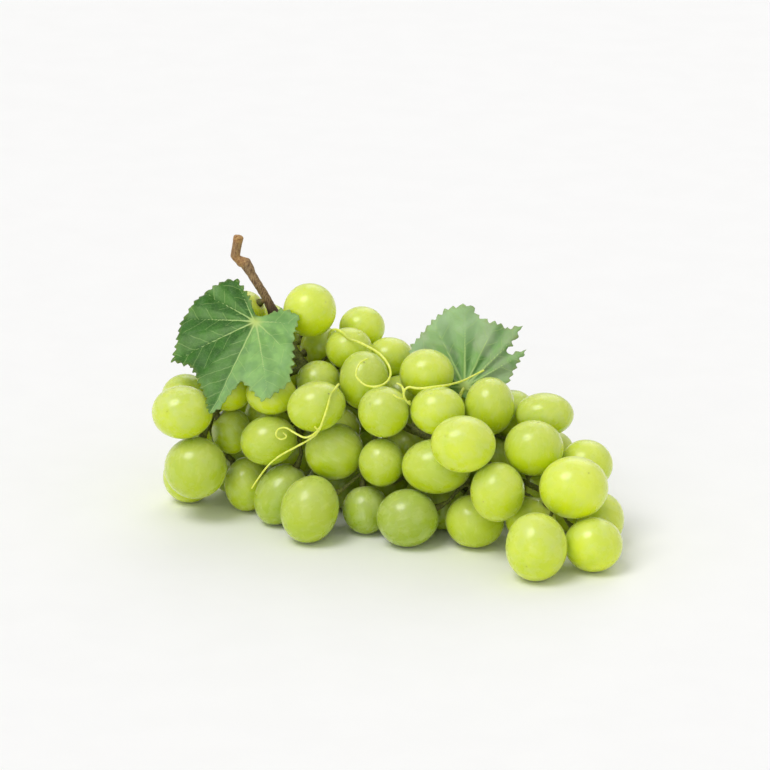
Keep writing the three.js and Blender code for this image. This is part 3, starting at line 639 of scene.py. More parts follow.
def leaf_blade():
    """Vine leaf: palmate pale veins, finer side veins, a net of the smallest, a paler underside; painted
    light: one half paler as if lit, painted light and shade across the pleats, and a whitish painted
    glare.
    """
    n = Nodes("leaf_blade")
    vein = n.parts(n.value("vein"))
    look = n.parts(n.value("look"))
    place = n.value("blade")
    broad = n.noise(place, 0.16, 3.0)
    fine = n.noise(place, 1.1, 4.0, 0.6)
    # painted light: the darker green and the paler lit green of the blade's two halves
    dark = n.mix(n.ramp(broad, 0.35, 0.65), (0.026, 0.110, 0.005), (0.044, 0.170, 0.010))
    painted_light = n.mix(n.ramp(broad, 0.35, 0.65), (0.180, 0.370, 0.105), (0.265, 0.500, 0.130))
    base = n.mix(look[1], dark, painted_light)
    rim, pleat, painted_light_strength = n.parts(n.value("edge"))
    pleat_painted_light_strength = n.math("MULTIPLY_ADD", painted_light_strength, 0.34, 0.20)
    # painted reflection: the blade whitened toward its far part and in patches, a painted glare of the
    # bright sky
    painted_glare = n.ramp(look[2], 10.0, 30.0)
    painted_glare_patches = n.ramp(n.noise(place, 0.10, 2.0), 0.5, 0.66, 0.0, 0.4)
    net = n.ramp(n.cells(place, 0.62, "DISTANCE_TO_EDGE"), 0.0, 0.08, 0.16, 0.0)
    wander = n.math("MULTIPLY_ADD", n.noise(place, 0.5, 1.0), 0.16, vein[1])
    side = n.math("MULTIPLY", n.ramp(n.math("PINGPONG", wander, 0.5), 0.012, 0.048, 0.34, 0.0), vein[2])
    lines = n.math("MAXIMUM", side, n.ramp(vein[0], 0.6, 1.7, 0.95, 0.0))
    base = n.layers(
        base,
        (look[0], 0.6, (0.200, 0.380, 0.110)),
        (n.ramp(fine, 0.45, 0.8), 0.18, (0.14, 0.30, 0.06)),
        # painted light and shade: each pleat painted paler on one side of its main vein and darker on the
        # other
        (n.ramp(pleat, 0.0, 0.9), pleat_painted_light_strength, (0.280, 0.510, 0.150)),
        (n.ramp(pleat, -0.9, 0.0, 1.0, 0.0), pleat_painted_light_strength, (0.024, 0.115, 0.010)),
        # painted glare toward the far part and in patches, as strong as the leaf's given painted light
        # strength
        (painted_glare, n.math("MULTIPLY", look[1], painted_light_strength), (0.440, 0.620, 0.340)),
        (painted_glare_patches, painted_light_strength, (0.44, 0.46, 0.34)),
        (net, 1.0, (0.24, 0.44, 0.13)),
        (lines, 1.0, (0.42, 0.60, 0.20)),
        (n.ramp(look[2], 0.0, 4.5, 0.8, 0.0), 1.0, (0.52, 0.64, 0.16)),
        (rim, n.ramp(fine, 0.4, 0.6, 0.05, 0.45), (0.26, 0.27, 0.06)),
    )
    n.set(Base_Color=base, Roughness=n.ramp(fine, 0.3, 0.7, 0.42, 0.6), IOR=1.38)
    n.set(Subsurface_Weight=0.12, Subsurface_Radius=(0.6, 1.0, 0.3), Subsurface_Scale=0.0008)
    n.bump(n.math("ADD", n.math("MULTIPLY", net, -0.6), n.math("MULTIPLY", fine, 0.5)), 0.14)
    return n.material


def pale_floor():
    """Plain matt pale paper, a little uneven."""
    n = Nodes("pale_floor")
    place = n.make("TexCoord", {})["Object"]
    tint = n.ramp(n.noise(place, 40.0, 2.0), 0.3, 0.7)
    n.set(Base_Color=n.mix(tint, (0.93, 0.93, 0.93), (0.94, 0.94, 0.94)), Roughness=0.7)
    return n.material


grape_material = grape_skin()
bark_material = stem_bark()
tendril_material = tendril_skin()
leaf_material = leaf_blade()


# Grapes ----------

# The skin: the scar opposite the stem, the rim round it and the skin's long waves (mm)
MEAN_RADIUS = 10
SCAR_DEPTH = 0.22
RIM_HEIGHT = 0.09
RIM_RADIUS = 1.3
RIM_WIDTH = 0.7
SKIN_WAVE_HEIGHT = 0.07
SKIN_WAVE_LENGTH = 13
BERRY_SEED = 100
BERRY_START = (0.36, 0.48, 0.8)

# Tone: random ripeness, and painted shade that makes berries darker green the nearer they lie to the
# bottom middle of the bunch, under the heap, with its reaches toward the tip, the stem end and the top
# (mm)
RIPE_BY_CHANCE = 0.35
PAINTED_SHADE_BY_PLACE = 0.50
TONE_OFFSET = 0.04
SHADE_REACH_TIP = 60
SHADE_REACH_STEM_END = 100
SHADE_REACH_TOP = 45


def tone_and_painted_shade(place, chance):
    """How yellow a berry is, from 0 to 1: random ripeness, with painted shade darkening berries near the
    bottom middle.
    """
    reach = SHADE_REACH_TIP if place[0] > 0 else SHADE_REACH_STEM_END
    outward = math.hypot(place[0] / reach, place[2] / SHADE_REACH_TOP)
    return np.clip(RIPE_BY_CHANCE * chance + PAINTED_SHADE_BY_PLACE * outward - TONE_OFFSET, 0, 1)


def grape(berry, number):
    """One berry: its ellipsoid about the stem axis, a dimple at the stem and a small scar opposite."""
    steps = np.arange(1, BERRY_RINGS) / BERRY_RINGS
    falls = math.pi * (steps - POLE_CROWDING * np.sin(math.tau * steps) / math.tau)
    turns = math.tau * np.arange(BERRY_SEGMENTS) / BERRY_SEGMENTS
    pole = berry["pole"]
    side = unit(np.cross(pole, BERRY_START))
    other = np.cross(pole, side)
    fall, turn = [grid.ravel() for grid in np.meshgrid(falls, turns, indexing="ij")]
    local = columns([np.sin(fall) * np.cos(turn), np.sin(fall) * np.sin(turn), np.cos(fall)])
    local = np.concatenate([[[0, 0, 1]], local, [[0, 0, -1]]])
    ways = local @ np.array([side, other, pole])
    reach = 1 / np.sqrt(np.einsum("ij,jk,ik->i", ways, berry["form"], ways))
    flat = np.sqrt(np.maximum(0, 1 - local[:, 2] ** 2)) * reach
    top, bottom = local[:, 2] > 0, local[:, 2] < 0
    change = SKIN_WAVE_HEIGHT * waves(ways * MEAN_RADIUS, SKIN_WAVE_LENGTH, BERRY_SEED + number)
    change -= DIMPLE_DEPTH * mound(flat, DIMPLE_RADIUS) * top
    change -= SCAR_DEPTH * mound(flat, SCAR_RADIUS) * bottom
    change += RIM_HEIGHT * mound(flat - RIM_RADIUS, RIM_WIDTH) * bottom
    points = berry["centre"] + ways * (reach + change)[:, None]
    points[:, 2] = np.maximum(points[:, 2], 0.0)
    faces = []
    last = len(points) - 1
    for k in range(BERRY_SEGMENTS):
        after = (k + 1) % BERRY_SEGMENTS
        faces.append((0, 1 + k, 1 + after))
        for ring in range(BERRY_RINGS - 2):
            here = 1 + ring * BERRY_SEGMENTS
            there = here + BERRY_SEGMENTS
            faces.append((here + k, there + k, there + after, here + after))
        here = 1 + (BERRY_RINGS - 2) * BERRY_SEGMENTS
        faces.append((here + k, last, here + after))
    tone = rng.uniform(0, 1, 3)
    # tone[0]: random ripeness with painted shade under the heap
    tone[0] = tone_and_painted_shade(berry["centre"], tone[0])
    tone = np.tile(tone, (len(points), 1))
    # facing: each point's world direction, which the skin uses to paint light on the upper side and glow
    # on the lower
    new_piece(berry["name"], points, faces, grape_material, [berry["node"]],
              {"skin": local, "facing": ways, "tone": tone})


for number, berry in enumerate(berries):
    grape(berry, number)


# Stems ----------

STEM_SIDES = 12
STEM_ROUNDS = 4
STEM_LOWEST = 0.1
STALK_SEED = 40
SPRIG_SEED = 60

# The swollen end of a pedicel: distances out from the bottom of the dimple, and radii (mm)
COLLAR_STEPS = ((2.6, 0.7), (1.9, 0.8), (1.3, 1.05), (0.8, 1.4), (0.35, 1.5), (-0.1, 1.4), (-0.9, 0.9))

# The skin grows by what the smoothing takes off, more on the bare stem, and gets knobs: their
# heights and lengths (mm), and the share of them that the bare stem goes without
STEM_GROWTH = 0.12
BARE_GROWTH = 0.30
STEM_KNOBS = ((0.10, 3.2), (0.05, 1.2))
BARE_EVENNESS = 0.55

# The bare stem stands round this place and begins between these heights, as laid (mm)
BARE_PLACE = (-50, 106)
BARE_RADIUS = 14
BARE_START = (64, 74)
BARE_UPPER = (89, 93)

# Distances over which each mark fades in (mm), and the marks' strengths
TIP_FADE = (2.2, 0.4)
CUT_FADE = (4.5, 1.0)
KNUCKLE_FADE = (4.5, 2.0)
BASE_FADE = (10, 3)
KNUCKLE_ORANGE = 0.8
UPPER_ORANGE = 0.35
BASE_DARK = 0.85
TIP_DARK = 0.2
TIP_WOODY = 0.2
LEAST_WOODY = 0.12


def collar(berry):
    """The swollen end of a pedicel, from outside the berry down into its dimple."""
    pole = berry["pole"]
    skin = 1 / math.sqrt(pole @ berry["form"] @ pole) - DIMPLE_DEPTH
    line = [berry["centre"] + pole * (skin + out) for out, _ in COLLAR_STEPS]
    return lathe(line, [radius for _, radius in COLLAR_STEPS], STEM_SIDES)


def stem_piece(name, node, solid, fed, seed):
    """Stems and collars grown into one knobbly skin, coloured by where they are."""
    solids = [solid] + [collar(berry) for berry in fed]
    points, faces, normals = main_body(*remeshed(solids, STEM_VOXEL, STEM_ROUNDS))
    laid = points @ TURN - BUNCH_SHIFT @ TURN
    marks = (CUT_END, KNUCKLE, STALK_BASE)
    to_cut, to_knuckle, to_base = [norms(laid - mark) for mark in marks]
    close = norms(laid[:, :2] - BARE_PLACE) < BARE_RADIUS
    bare = smooth_step(*BARE_START, laid[:, 2]) * close
    tips = np.zeros(len(points))
    for berry in fed:
        out = skin_distance(points, berry["centre"], berry["form"])
        tips = np.maximum(tips, smooth_step(*TIP_FADE, out))
    bare = bare * (1 - tips)
    knobs = sum(height * waves(points, length, seed + k) for k, (height, length) in enumerate(STEM_KNOBS))
    growth = STEM_GROWTH + BARE_GROWTH * bare
    points = points + normals * (growth + knobs * (1 - BARE_EVENNESS * bare))[:, None]
    points[:, 2] = np.maximum(points[:, 2], STEM_LOWEST)
    orange = KNUCKLE_ORANGE * smooth_step(*KNUCKLE_FADE, to_knuckle)
    orange = np.maximum(smooth_step(*CUT_FADE, to_cut), orange)
    orange = np.maximum(orange, UPPER_ORANGE * bare * smooth_step(*BARE_UPPER, laid[:, 2]))
    dark = np.maximum(BASE_DARK * smooth_step(*BASE_FADE, to_base), TIP_DARK * tips)
    woody = np.maximum(bare, np.maximum(LEAST_WOODY, tips * TIP_WOODY))
    new_piece(name, points, faces, bark_material, [node],
              {"bark": columns([woody, orange, dark]), "grain": laid})


stem_piece("stalk_bark", "stalk", (stalk_points, stalk_faces),
           [b for b in berries if "sprig" not in b["node"] and b["fed"]], STALK_SEED)
for number, (node, solid) in enumerate(sprig_stems.items()):
    fed = [b for b in berries if b["node"] == node and b["fed"]]
    stem_piece(f"{node}_stems", node, solid, fed, SPRIG_SEED + number)


# Lines ----------

CURVE_STEPS = 32
THREAD_ROUNDS = 80
THREAD_PULL = 0.4


def lengths_along(line):
    """The length of a line of points up to each of them."""
    return np.concatenate([[0], np.cumsum(norms(np.diff(line, axis=0)))])


def curve_through(points, spacing):
    """Evenly spaced points on the centripetal Catmull-Rom curve through the given ones."""
    points = np.asarray(points, float)
    ends = np.concatenate([[2 * points[0] - points[1]], points, [2 * points[-1] - points[-2]]])
    fine = [points[0]]
    for before, start, stop, after in zip(ends, ends[1:], ends[2:], ends[3:]):
        knots = [math.sqrt(max(np.linalg.norm(b - a), TINY)) for a, b in
                 ((before, start), (start, stop), (stop, after))]
        leave = (start - before) / knots[0] - (stop - before) / (knots[0] + knots[1])
        leave = (leave + (stop - start) / knots[1]) * knots[1]
        arrive = (stop - start) / knots[1] - (after - start) / (knots[1] + knots[2])
        arrive = (arrive + (after - stop) / knots[2]) * knots[1]
        for t in np.linspace(0, 1, CURVE_STEPS + 1)[1:]:
            fine.append((2 * t**3 - 3 * t**2 + 1) * start + (t**3 - 2 * t**2 + t) * leave
                        + (3 * t**2 - 2 * t**3) * stop + (t**3 - t**2) * arrive)
    fine = np.array(fine)
    lengths = lengths_along(fine)
    count = max(2, round(lengths[-1] / spacing))
    marks = np.linspace(0, lengths[-1], count + 1)
    return columns([np.interp(marks, lengths, fine[:, k]) for k in range(3)])


def threaded(points, clearance, spacing):
    """A line between the berries: its inner points evened out and pushed clear in turn."""
    line = curve_through(points, spacing)
    for _ in range(THREAD_ROUNDS):
        line[1:-1] += THREAD_PULL * ((line[:-2] + line[2:]) / 2 - line[1:-1])
        line[1:-1] = push_clear(line[1:-1], clearance)
    return line


# Tendrils ----------

# Half a tendril's greatest thickness with a little slack, and how much nearer its fine line may lie
TENDRIL_CLEARANCE = 0.6 + CLEAR + 0.1
TENDRIL_GIVE = 0.25
LAY_ROUNDS = 40
LAY_REACH = 90
LAY_STEP = 0.5

# The skin: its turned sides, the spacing of its line, and what grows on it with its waves (mm)
TENDRIL_SIDES = 10
TENDRIL_STEP = 0.45
TENDRIL_ROUNDS = 3
TENDRIL_GROWTH = 0.04
TENDRIL_WAVE_HEIGHT = 0.03
TENDRIL_WAVE_LENGTH = 1.6
TENDRIL_SEED = 90

# Thickness at the start and the end of a line, over TENDRIL_RADIUS
MAIN_TAPER = (1.2, 0.65)
BRANCH_TAPER = (0.85, 0.6)
TAPER_POWER = 0.8


def resting_depth(point):
    """Depth at which a line into the bunch first comes close to a berry, or None."""
    depths = np.arange(0, LAY_REACH, LAY_STEP)
    probes = point + depths[:, None] * DEPTH
    close = np.nonzero(gap_to_berries(probes) < TENDRIL_CLEARANCE)[0]
    return depths[close[0]] if len(close) else None


def lay_on_front(line, fixed):
    """The points from fixed on, moved in depth until they lie on the berries under them."""
    depths = [resting_depth(point) for point in line]
    known = [i for i, depth in enumerate(depths) if depth is not None]
    for i in range(fixed, len(line)):
        line[i] += depths[min(known, key=lambda k: abs(k - i))] * DEPTH
    for _ in range(LAY_ROUNDS):
        for i in range(max(fixed, 1), len(line)):
            after = line[i + 1] if i + 1 < len(line) else line[i]
            mean = (line[i - 1] @ DEPTH + after @ DEPTH) / 2
            line[i] += (mean - line[i] @ DEPTH) / 2 * DEPTH
            while gap_to_berries(line[i][None])[0] < TENDRIL_CLEARANCE:
                line[i] -= LAY_STEP / 2 * DEPTH
    return line


def nearest_on(line, point):
    """The point of a line that lies nearest on the front plane."""
    offsets = line - point
    offsets -= np.outer(offsets @ DEPTH, DEPTH)
    return line[np.argmin(norms(offsets))]


def tapered(line, thick, thin):
    """A tendril's smooth turned solid along a line, thinner toward its end."""
    fine = curve_through(line, TENDRIL_STEP)
    fine[1:] = push_clear(fine[1:], TENDRIL_CLEARANCE - TENDRIL_GIVE)
    for _ in range(TENDRIL_ROUNDS):
        fine[1:-1] = (fine[:-2] + 2 * fine[1:-1] + fine[2:]) / 4
    radii = TENDRIL_RADIUS * np.linspace(thick, thin, len(fine)) ** TAPER_POWER
    return lathe(fine, radii, TENDRIL_SIDES)


def tendril(name, root, lines):
    """A tendril laid on the berries, its branches grown out of its main line."""
    first, *branches = [curve_through([on_front(*row, 0) for row in rows], TENDRIL_SPACING)
                        for rows in lines]
    main = lay_on_front(first, 0)
    way = push_clear(np.array([on_front(*row) for row in root]), TENDRIL_CLEARANCE)
    inner = threaded([*way, main[0]], TENDRIL_CLEARANCE, TENDRIL_SPACING)
    solids = [tapered(np.concatenate([inner[:-1], main]), *MAIN_TAPER)]
    for branch in branches:
        branch[0] = nearest_on(main, branch[0])
        solids.append(tapered(lay_on_front(branch, 1), *BRANCH_TAPER))
    points, faces, normals = remeshed(solids, TENDRIL_VOXEL, TENDRIL_ROUNDS)
    along = norms(points - main[0])
    ripple = TENDRIL_WAVE_HEIGHT * waves(points, TENDRIL_WAVE_LENGTH, TENDRIL_SEED)
    points = points + normals * (TENDRIL_GROWTH + ripple)[:, None]
    grain = columns([along, points @ UP, points @ ACROSS])
    new_piece(f"{name}_curl", points, faces, tendril_material, [name], {"grain": grain})


for name, spec in TENDRILS.items():
    tendril(name, spec["root"], spec["lines"])


# Leaves ----------

# The rim: spacing, how teeth vary, their steep side's share, and where they fade out (mm)
RIM_STEP = 0.42
RIM_ROUNDS = 2
TOOTH_SPREAD = (0.7, 1.3)
TOOTH_HEIGHTS = (0.7, 1.25)
TOOTH_FRONT = 0.3
TOOTH_POWER = 0.8
TOOTH_SINK = 0.2
HEART_FADE = (5, 14)
BEND_FADE = (0.6, 3.4)

# The blade's grid: the spacing of its rows over that in a row, and its gap to the rim
GRID_ROWS = 0.866
GRID_GAP = 0.55
GRID_WELD = 1e-5

# Veins: half width, its narrowing, slant, starts and fades of the side veins
VEIN_WIDTH = 0.36
VEIN_NARROWING = 1.05
VEIN_THINNEST = 0.28
SIDE_SLANT = 0.85
SIDE_STAGGER = 0.23
SIDE_FADE = (0.0, 0.09)
SIDE_START = (2, 7)

# The sheet (mm): rounds of evening out, rise between side veins, trough along main ones, ripple of
# the rim, and the rise of the pleats with the distance from the heart
MOVE_ROUNDS = 14
FOLD_ROUNDS = 10
FOLD_RIM = 0.12
PUCKER_HEIGHT = 0.32
TROUGH_DEPTH = 0.30
TROUGH_WIDTH = 1.6
RIPPLE_HEIGHT = 0.9
RIPPLE_LENGTH = 11
RIPPLE_RIM = (0.6, 1.0)
PLEAT_START = (2, 16)
SHEET_CLEARANCE = 0.75
CLEAR_ROUNDS = 6
EVEN_ROUNDS = 3
EVEN_SHARE = 0.2

# The blade's skin (mm): thickness at the rim, the rib under each main vein
RIM_THIN = 0.55
RIM_REACH = 0.06
RIB_HEIGHT = 0.42
RIB_WIDTH = 1.4
RIB_END = 1.1

# Colour: the blend of the halves' painted light at the midrib (mm), the least painted light on the
# underside, the shift of the underside's pattern, the rim's share of the reach, and where the pleats'
# painted shading begins (mm)
MIDRIB_BLEND = 1.2
UNDER_LEAST_PAINTED_LIGHT = 0.25
UNDER_SHIFT = (0, 0, 5)
RIM_SHARE = (0.95, 1.02)
SHADE_START = (1, 9)

# Petioles (mm): depth in the blade, the line's spacing, the skin, and radii along the line
PETIOLE_SINK = 0.2
PETIOLE_SPACING = 1.5
PETIOLE_VOXEL = 0.25
PETIOLE_ROUNDS = 3
PETIOLE_SHARES = (0, 0.15, 0.5, 0.9, 1)
PETIOLE_RADII = (0.55, 0.8, 0.85, 0.95, 1.15)


def leaf_frame(spec):
    """Heart, midrib, the slope of each half and the direction that the blade faces."""
    heart = on_front(*spec["heart"])
    midrib = unit(on_front(*spec["tip"]) - heart)
    slopes = []
    for place in spec["sides"]:
        slope = on_front(*place) - heart
        slopes.append(unit(slope - midrib * slope.dot(midrib)))
    face = unit(np.cross(midrib, slopes[1]) + np.cross(slopes[0], midrib))
    return heart, midrib, slopes, face


def leaf_loop(spec):
    """The outline's corners round the heart: distance along the midrib and signed distance aside."""
    left, right = spec["outlines"]
    rows = [*left, *((-angle, reach) for angle, reach in reversed(right[1:]))]
    turns = np.radians([angle for angle, _ in rows])
    reaches = np.array([reach for _, reach in rows], float)
    return columns([reaches * np.cos(turns), reaches * np.sin(turns)])


def raised(flat, frame_of_leaf):
    """Places on the undraped blade from their two flat coordinates."""
    heart, midrib, slopes, _ = frame_of_leaf
    halves = np.where(flat[:, 1:2] >= 0, slopes[0], slopes[1])
    return heart + flat[:, :1] * midrib + np.abs(flat[:, 1:2]) * halves


def draped_moves(loop, frame_of_leaf):
    """How far the heart and each ring of the blade move to lie clear of the berries."""
    count = len(loop)
    flat = np.concatenate([[[0, 0]]] + [loop * share for share in DRAPE_RINGS])
    homes = raised(flat, frame_of_leaf)
    links = [set() for _ in flat]
    faces = []
    for i in range(count):
        after = (i + 1) % count
        faces.append((0, 1 + i, 1 + after))
        for ring in range(1, len(DRAPE_RINGS)):
            inner, outer = 1 + (ring - 1) * count, 1 + ring * count
            faces.append((inner + i, outer + i, outer + after))
            faces.append((inner + i, outer + after, inner + after))
    for corners in faces:
        for corner in corners:
            links[corner].update(corners)
    spread = np.zeros((len(flat), len(flat)))
    for i, near in enumerate(links):
        spread[i, list(near)] = 1 / len(near)
    points = homes.copy()
    for _ in range(DRAPE_ROUNDS):
        points = push_clear(homes + spread @ (points - homes), DRAPE_CLEARANCE)
    moves = points - homes
    return moves[0], moves[1:].reshape(len(DRAPE_RINGS), count, 3)


def even_rim(loop):
    """Evenly spaced points on the outline, the length to each and the way out there."""
    closed = np.concatenate([loop, loop[:1]])
    lengths = lengths_along(closed)
    marks = np.linspace(0, lengths[-1], round(lengths[-1] / RIM_STEP), endpoint=False)
    base = columns([np.interp(marks, lengths, closed[:, k]) for k in (0, 1)])
    for _ in range(RIM_ROUNDS):
        base = (np.roll(base, 1, axis=0) + 2 * base + np.roll(base, -1, axis=0)) / 4
    way = np.roll(base, -1, axis=0) - np.roll(base, 1, axis=0)
    out = columns([way[:, 1], -way[:, 0]]) / norms(way)[:, None]
    if np.sum(out * base) < 0:
        out = -out
    return base, out, marks, lengths[-1]


def tooth_fade(loop, base):
    """How tall teeth may be: less near the heart and in the outline's sharp bends."""
    fade = smooth_step(*HEART_FADE, norms(base))
    turn_in, turn_out = loop - np.roll(loop, 1, axis=0), np.roll(loop, -1, axis=0) - loop
    bend = np.einsum("ij,ij->i", turn_in, turn_out)
    bend /= norms(turn_in) * norms(turn_out)
    for point in loop[bend < SHARP_BEND]:
        fade = fade * smooth_step(*BEND_FADE, norms(base - point))
    return fade


def toothed(loop, seed):
    """The outline with its saw teeth, as closely spaced flat points."""
    base, out, marks, length = even_rim(loop)
    draw = np.random.default_rng(seed)
    teeth = round(length / TOOTH_LENGTH)
    starts = np.cumsum(draw.uniform(*TOOTH_SPREAD, teeth))
    starts = np.concatenate([[0], starts / starts[-1] * length])
    heights = draw.uniform(*TOOTH_HEIGHTS, teeth)
    which = np.clip(np.searchsorted(starts, marks, side="right") - 1, 0, teeth - 1)
    share = (marks - starts[which]) / (starts[which + 1] - starts[which])
    to_tip = np.where(base[:, 1] >= 0, share, 1 - share)
    saw = np.where(to_tip < TOOTH_FRONT, to_tip / TOOTH_FRONT, (1 - to_tip) / (1 - TOOTH_FRONT))
    tall = TOOTH_HEIGHT * heights[which] * tooth_fade(loop, base)
    return base + out * (tall * (saw**TOOTH_POWER - TOOTH_SINK))[:, None]


def blade_mesh(outline):
    """An even triangle mesh inside the outline: its flat points and its faces."""
    low, high = outline.min(axis=0), outline.max(axis=0)
    rows = np.arange(low[1], high[1], BLADE_GRID * GRID_ROWS)
    inner = []
    for number, aside in enumerate(rows):
        start = low[0] + (number % 2) * BLADE_GRID / 2
        inner += [(along, aside) for along in np.arange(start, high[0], BLADE_GRID)]
    inner = np.array(inner)
    after = np.roll(outline, -1, axis=0)
    crossing = (outline[None, :, 1] > inner[:, 1:2]) != (after[None, :, 1] > inner[:, 1:2])
    slope = (after[:, 0] - outline[:, 0]) / (after[:, 1] - outline[:, 1] + TINY)
    meets = outline[None, :, 0] + (inner[:, 1:2] - outline[None, :, 1]) * slope
    within = (crossing & (inner[:, :1] < meets)).sum(axis=1) % 2 == 1
    gaps = np.linalg.norm(inner[:, None] - outline[None], axis=2).min(axis=1)
    inner = inner[within & (gaps > BLADE_GRID * GRID_GAP)]
    flat = np.concatenate([outline, inner])
    edges = [(i, (i + 1) % len(outline)) for i in range(len(outline))]
    made = delaunay_2d_cdt([Vector(p) for p in flat], edges, [], 1, GRID_WELD)
    return np.array([tuple(p) for p in made[0]]), made[2]


def flat_cross(first, second):
    return first[:, 0] * second[:, 1] - first[:, 1] * second[:, 0]


def moves_at(flat, loop, centre_move, ring_moves):
    """The drape's move at each flat point, and its share of the way from the heart to the rim."""
    angles = np.arctan2(loop[:, 1], loop[:, 0])
    order = np.argsort(angles)
    here = np.arctan2(flat[:, 1], flat[:, 0])
    slot = np.searchsorted(angles[order], here)
    first = order[(slot - 1) % len(order)]
    second = order[slot % len(order)]
    a, b = loop[first], loop[second]
    way = flat / np.maximum(norms(flat), TINY)[:, None]
    side = b - a
    across = flat_cross(way, side)
    reach = flat_cross(a, side) / np.where(np.abs(across) < TINY, TINY, across)
    hit = way * reach[:, None]
    share = np.clip(np.einsum("ij,ij->i", hit - a, side) / np.einsum("ij,ij->i", side, side), 0, 1)
    out = norms(flat) / np.maximum(reach, TINY)
    rings = np.concatenate([[0], DRAPE_RINGS])
    layers = np.concatenate([np.broadcast_to(centre_move, (1, len(loop), 3)), ring_moves])
    level = np.clip(np.searchsorted(rings, out, side="right") - 1, 0, len(rings) - 2)
    rise = np.clip((out - rings[level]) / (rings[level + 1] - rings[level]), 0, 1)[:, None]
    share = share[:, None]
    low = layers[level, first] * (1 - share) + layers[level, second] * share
    high = layers[level + 1, first] * (1 - share) + layers[level + 1, second] * share
    return low * (1 - rise) + high * rise, out


def vein_values(flat, veins):
    """Distance from the nearest main vein over its width, count of side veins, their fade, pleat."""
    turns = np.radians([angle for angle, _ in veins])
    ways = columns([np.cos(turns), np.sin(turns)])
    here = np.arctan2(flat[:, 1], flat[:, 0])
    apart = np.abs((here[:, None] - turns[None] + math.pi) % math.tau - math.pi)
    near = np.argmin(apart, axis=1)
    ranked = np.sort(apart, axis=1)
    along = np.einsum("ij,ij->i", flat, ways[near])
    aside = flat_cross(ways[near], flat)
    lengths = np.array([length for _, length in veins], float)[near]
    width = VEIN_WIDTH * np.clip(VEIN_NARROWING - along / lengths, VEIN_THINNEST, 1)
    count = (along - SIDE_SLANT * np.abs(aside)) / VEIN_SPACING
    count = count + np.where(aside > 0, 0.5, 0) + near * SIDE_STAGGER
    fade = smooth_step(*SIDE_FADE, ranked[:, 1] - ranked[:, 0]) * (along > 0)
    fade = fade * smooth_step(*SIDE_START, along)
    signed = (here - turns[near] + math.pi) % math.tau - math.pi
    pleat = math.pi * signed / ((ranked[:, 0] + ranked[:, 1]) / 2)
    return np.abs(aside) / width, count, fade, pleat


def neighbour_mean(faces, count):
    """A function that takes values at a mesh's points to their means over each point's neighbours."""
    pairs = np.array([(f[k], f[(k + 1) % 3]) for f in faces for k in range(3)])
    degree = np.maximum(np.bincount(pairs.ravel(), minlength=count), 1)[:, None]

    def spread(values):
        total = np.zeros_like(values)
        np.add.at(total, pairs[:, 0], values[pairs[:, 1]])
        np.add.at(total, pairs[:, 1], values[pairs[:, 0]])
        return total / degree

    return spread


def folded_sheet(homes, moves, out, spread):
    """The blade's middle sheet: softly folded inside, true to its outline, and moved clear."""
    for _ in range(MOVE_ROUNDS):
        moves = spread(moves)
    fold = homes
    for _ in range(FOLD_ROUNDS):
        fold = spread(fold)
    inside = smooth_step(0.0, FOLD_RIM, 1 - np.clip(out, 0, 1))[:, None]
    return homes * (1 - inside) + fold * inside + moves


def sheet_relief(flat, out, veins, seed):
    """How far the sheet rises: puckers between veins, a rippled rim and pleats between main veins."""
    from_main, side_count, fade, pleat = veins
    between = np.abs((side_count % 1) - 0.5) * 2
    pucker = (1 - between**2) * fade * PUCKER_HEIGHT - TROUGH_DEPTH * mound(from_main, TROUGH_WIDTH)
    ripple = waves(flat, RIPPLE_LENGTH, seed) * RIPPLE_HEIGHT * smooth_step(*RIPPLE_RIM, out)
    dome = PLEAT_HEIGHT * (1 - np.cos(pleat)) / 2 * smooth_step(*PLEAT_START, norms(flat))
    return pucker + ripple + dome


def settled(sheet, spread):
    """The sheet pushed clear of the berries and, in the first rounds, evened out."""
    for number in range(CLEAR_ROUNDS):
        sheet = push_clear(sheet, SHEET_CLEARANCE)
        if number < EVEN_ROUNDS:
            sheet = sheet * (1 - EVEN_SHARE) + spread(sheet) * EVEN_SHARE
    return sheet


def facing_up(sheet, faces, face):
    """The sheet's faces, turned to the leaf's upper side, and the normals at its points."""
    corners = np.array([tuple(f) for f in faces])
    first, second, third = [sheet[corners[:, k]] for k in range(3)]
    crosses = np.cross(second - first, third - first)
    if np.mean(crosses @ face) < 0:
        corners = corners[:, ::-1]
        crosses = -crosses
    normals = np.zeros(sheet.shape)
    for k in range(3):
        np.add.at(normals, corners[:, k], crosses)
    return corners, normals / norms(normals)[:, None]


def closed_shell(corners, count):
    """Faces of the upper skin, of the lower one and of the rim between them."""
    shell = [tuple(int(i) for i in f) for f in corners]
    shell += [tuple(int(i) + count for i in f[::-1]) for f in corners]
    edges = dict.fromkeys((int(f[k]), int(f[(k + 1) % 3])) for f in corners for k in range(3))
    shell += [(b, a, a + count, b + count) for a, b in edges if (b, a) not in edges]
    return shell


def petiole(name, start, rows):
    """The leaf's own stalk, threaded from the blade's heart in among the berries."""
    way = [start] + [on_front(*row) for row in rows]
    line = threaded(way, PETIOLE_RADIUS + 2 * CLEAR, PETIOLE_SPACING)
    radii = np.interp(np.linspace(0, 1, len(line)), PETIOLE_SHARES, PETIOLE_RADII)
    points, faces, _ = remeshed([lathe(line, radii, STEM_SIDES)], PETIOLE_VOXEL, PETIOLE_ROUNDS)
    grain = columns([points @ ACROSS, points @ UP, points @ DEPTH])
    new_piece(f"{name}_petiole", points, faces, tendril_material, [name], {"grain": grain})


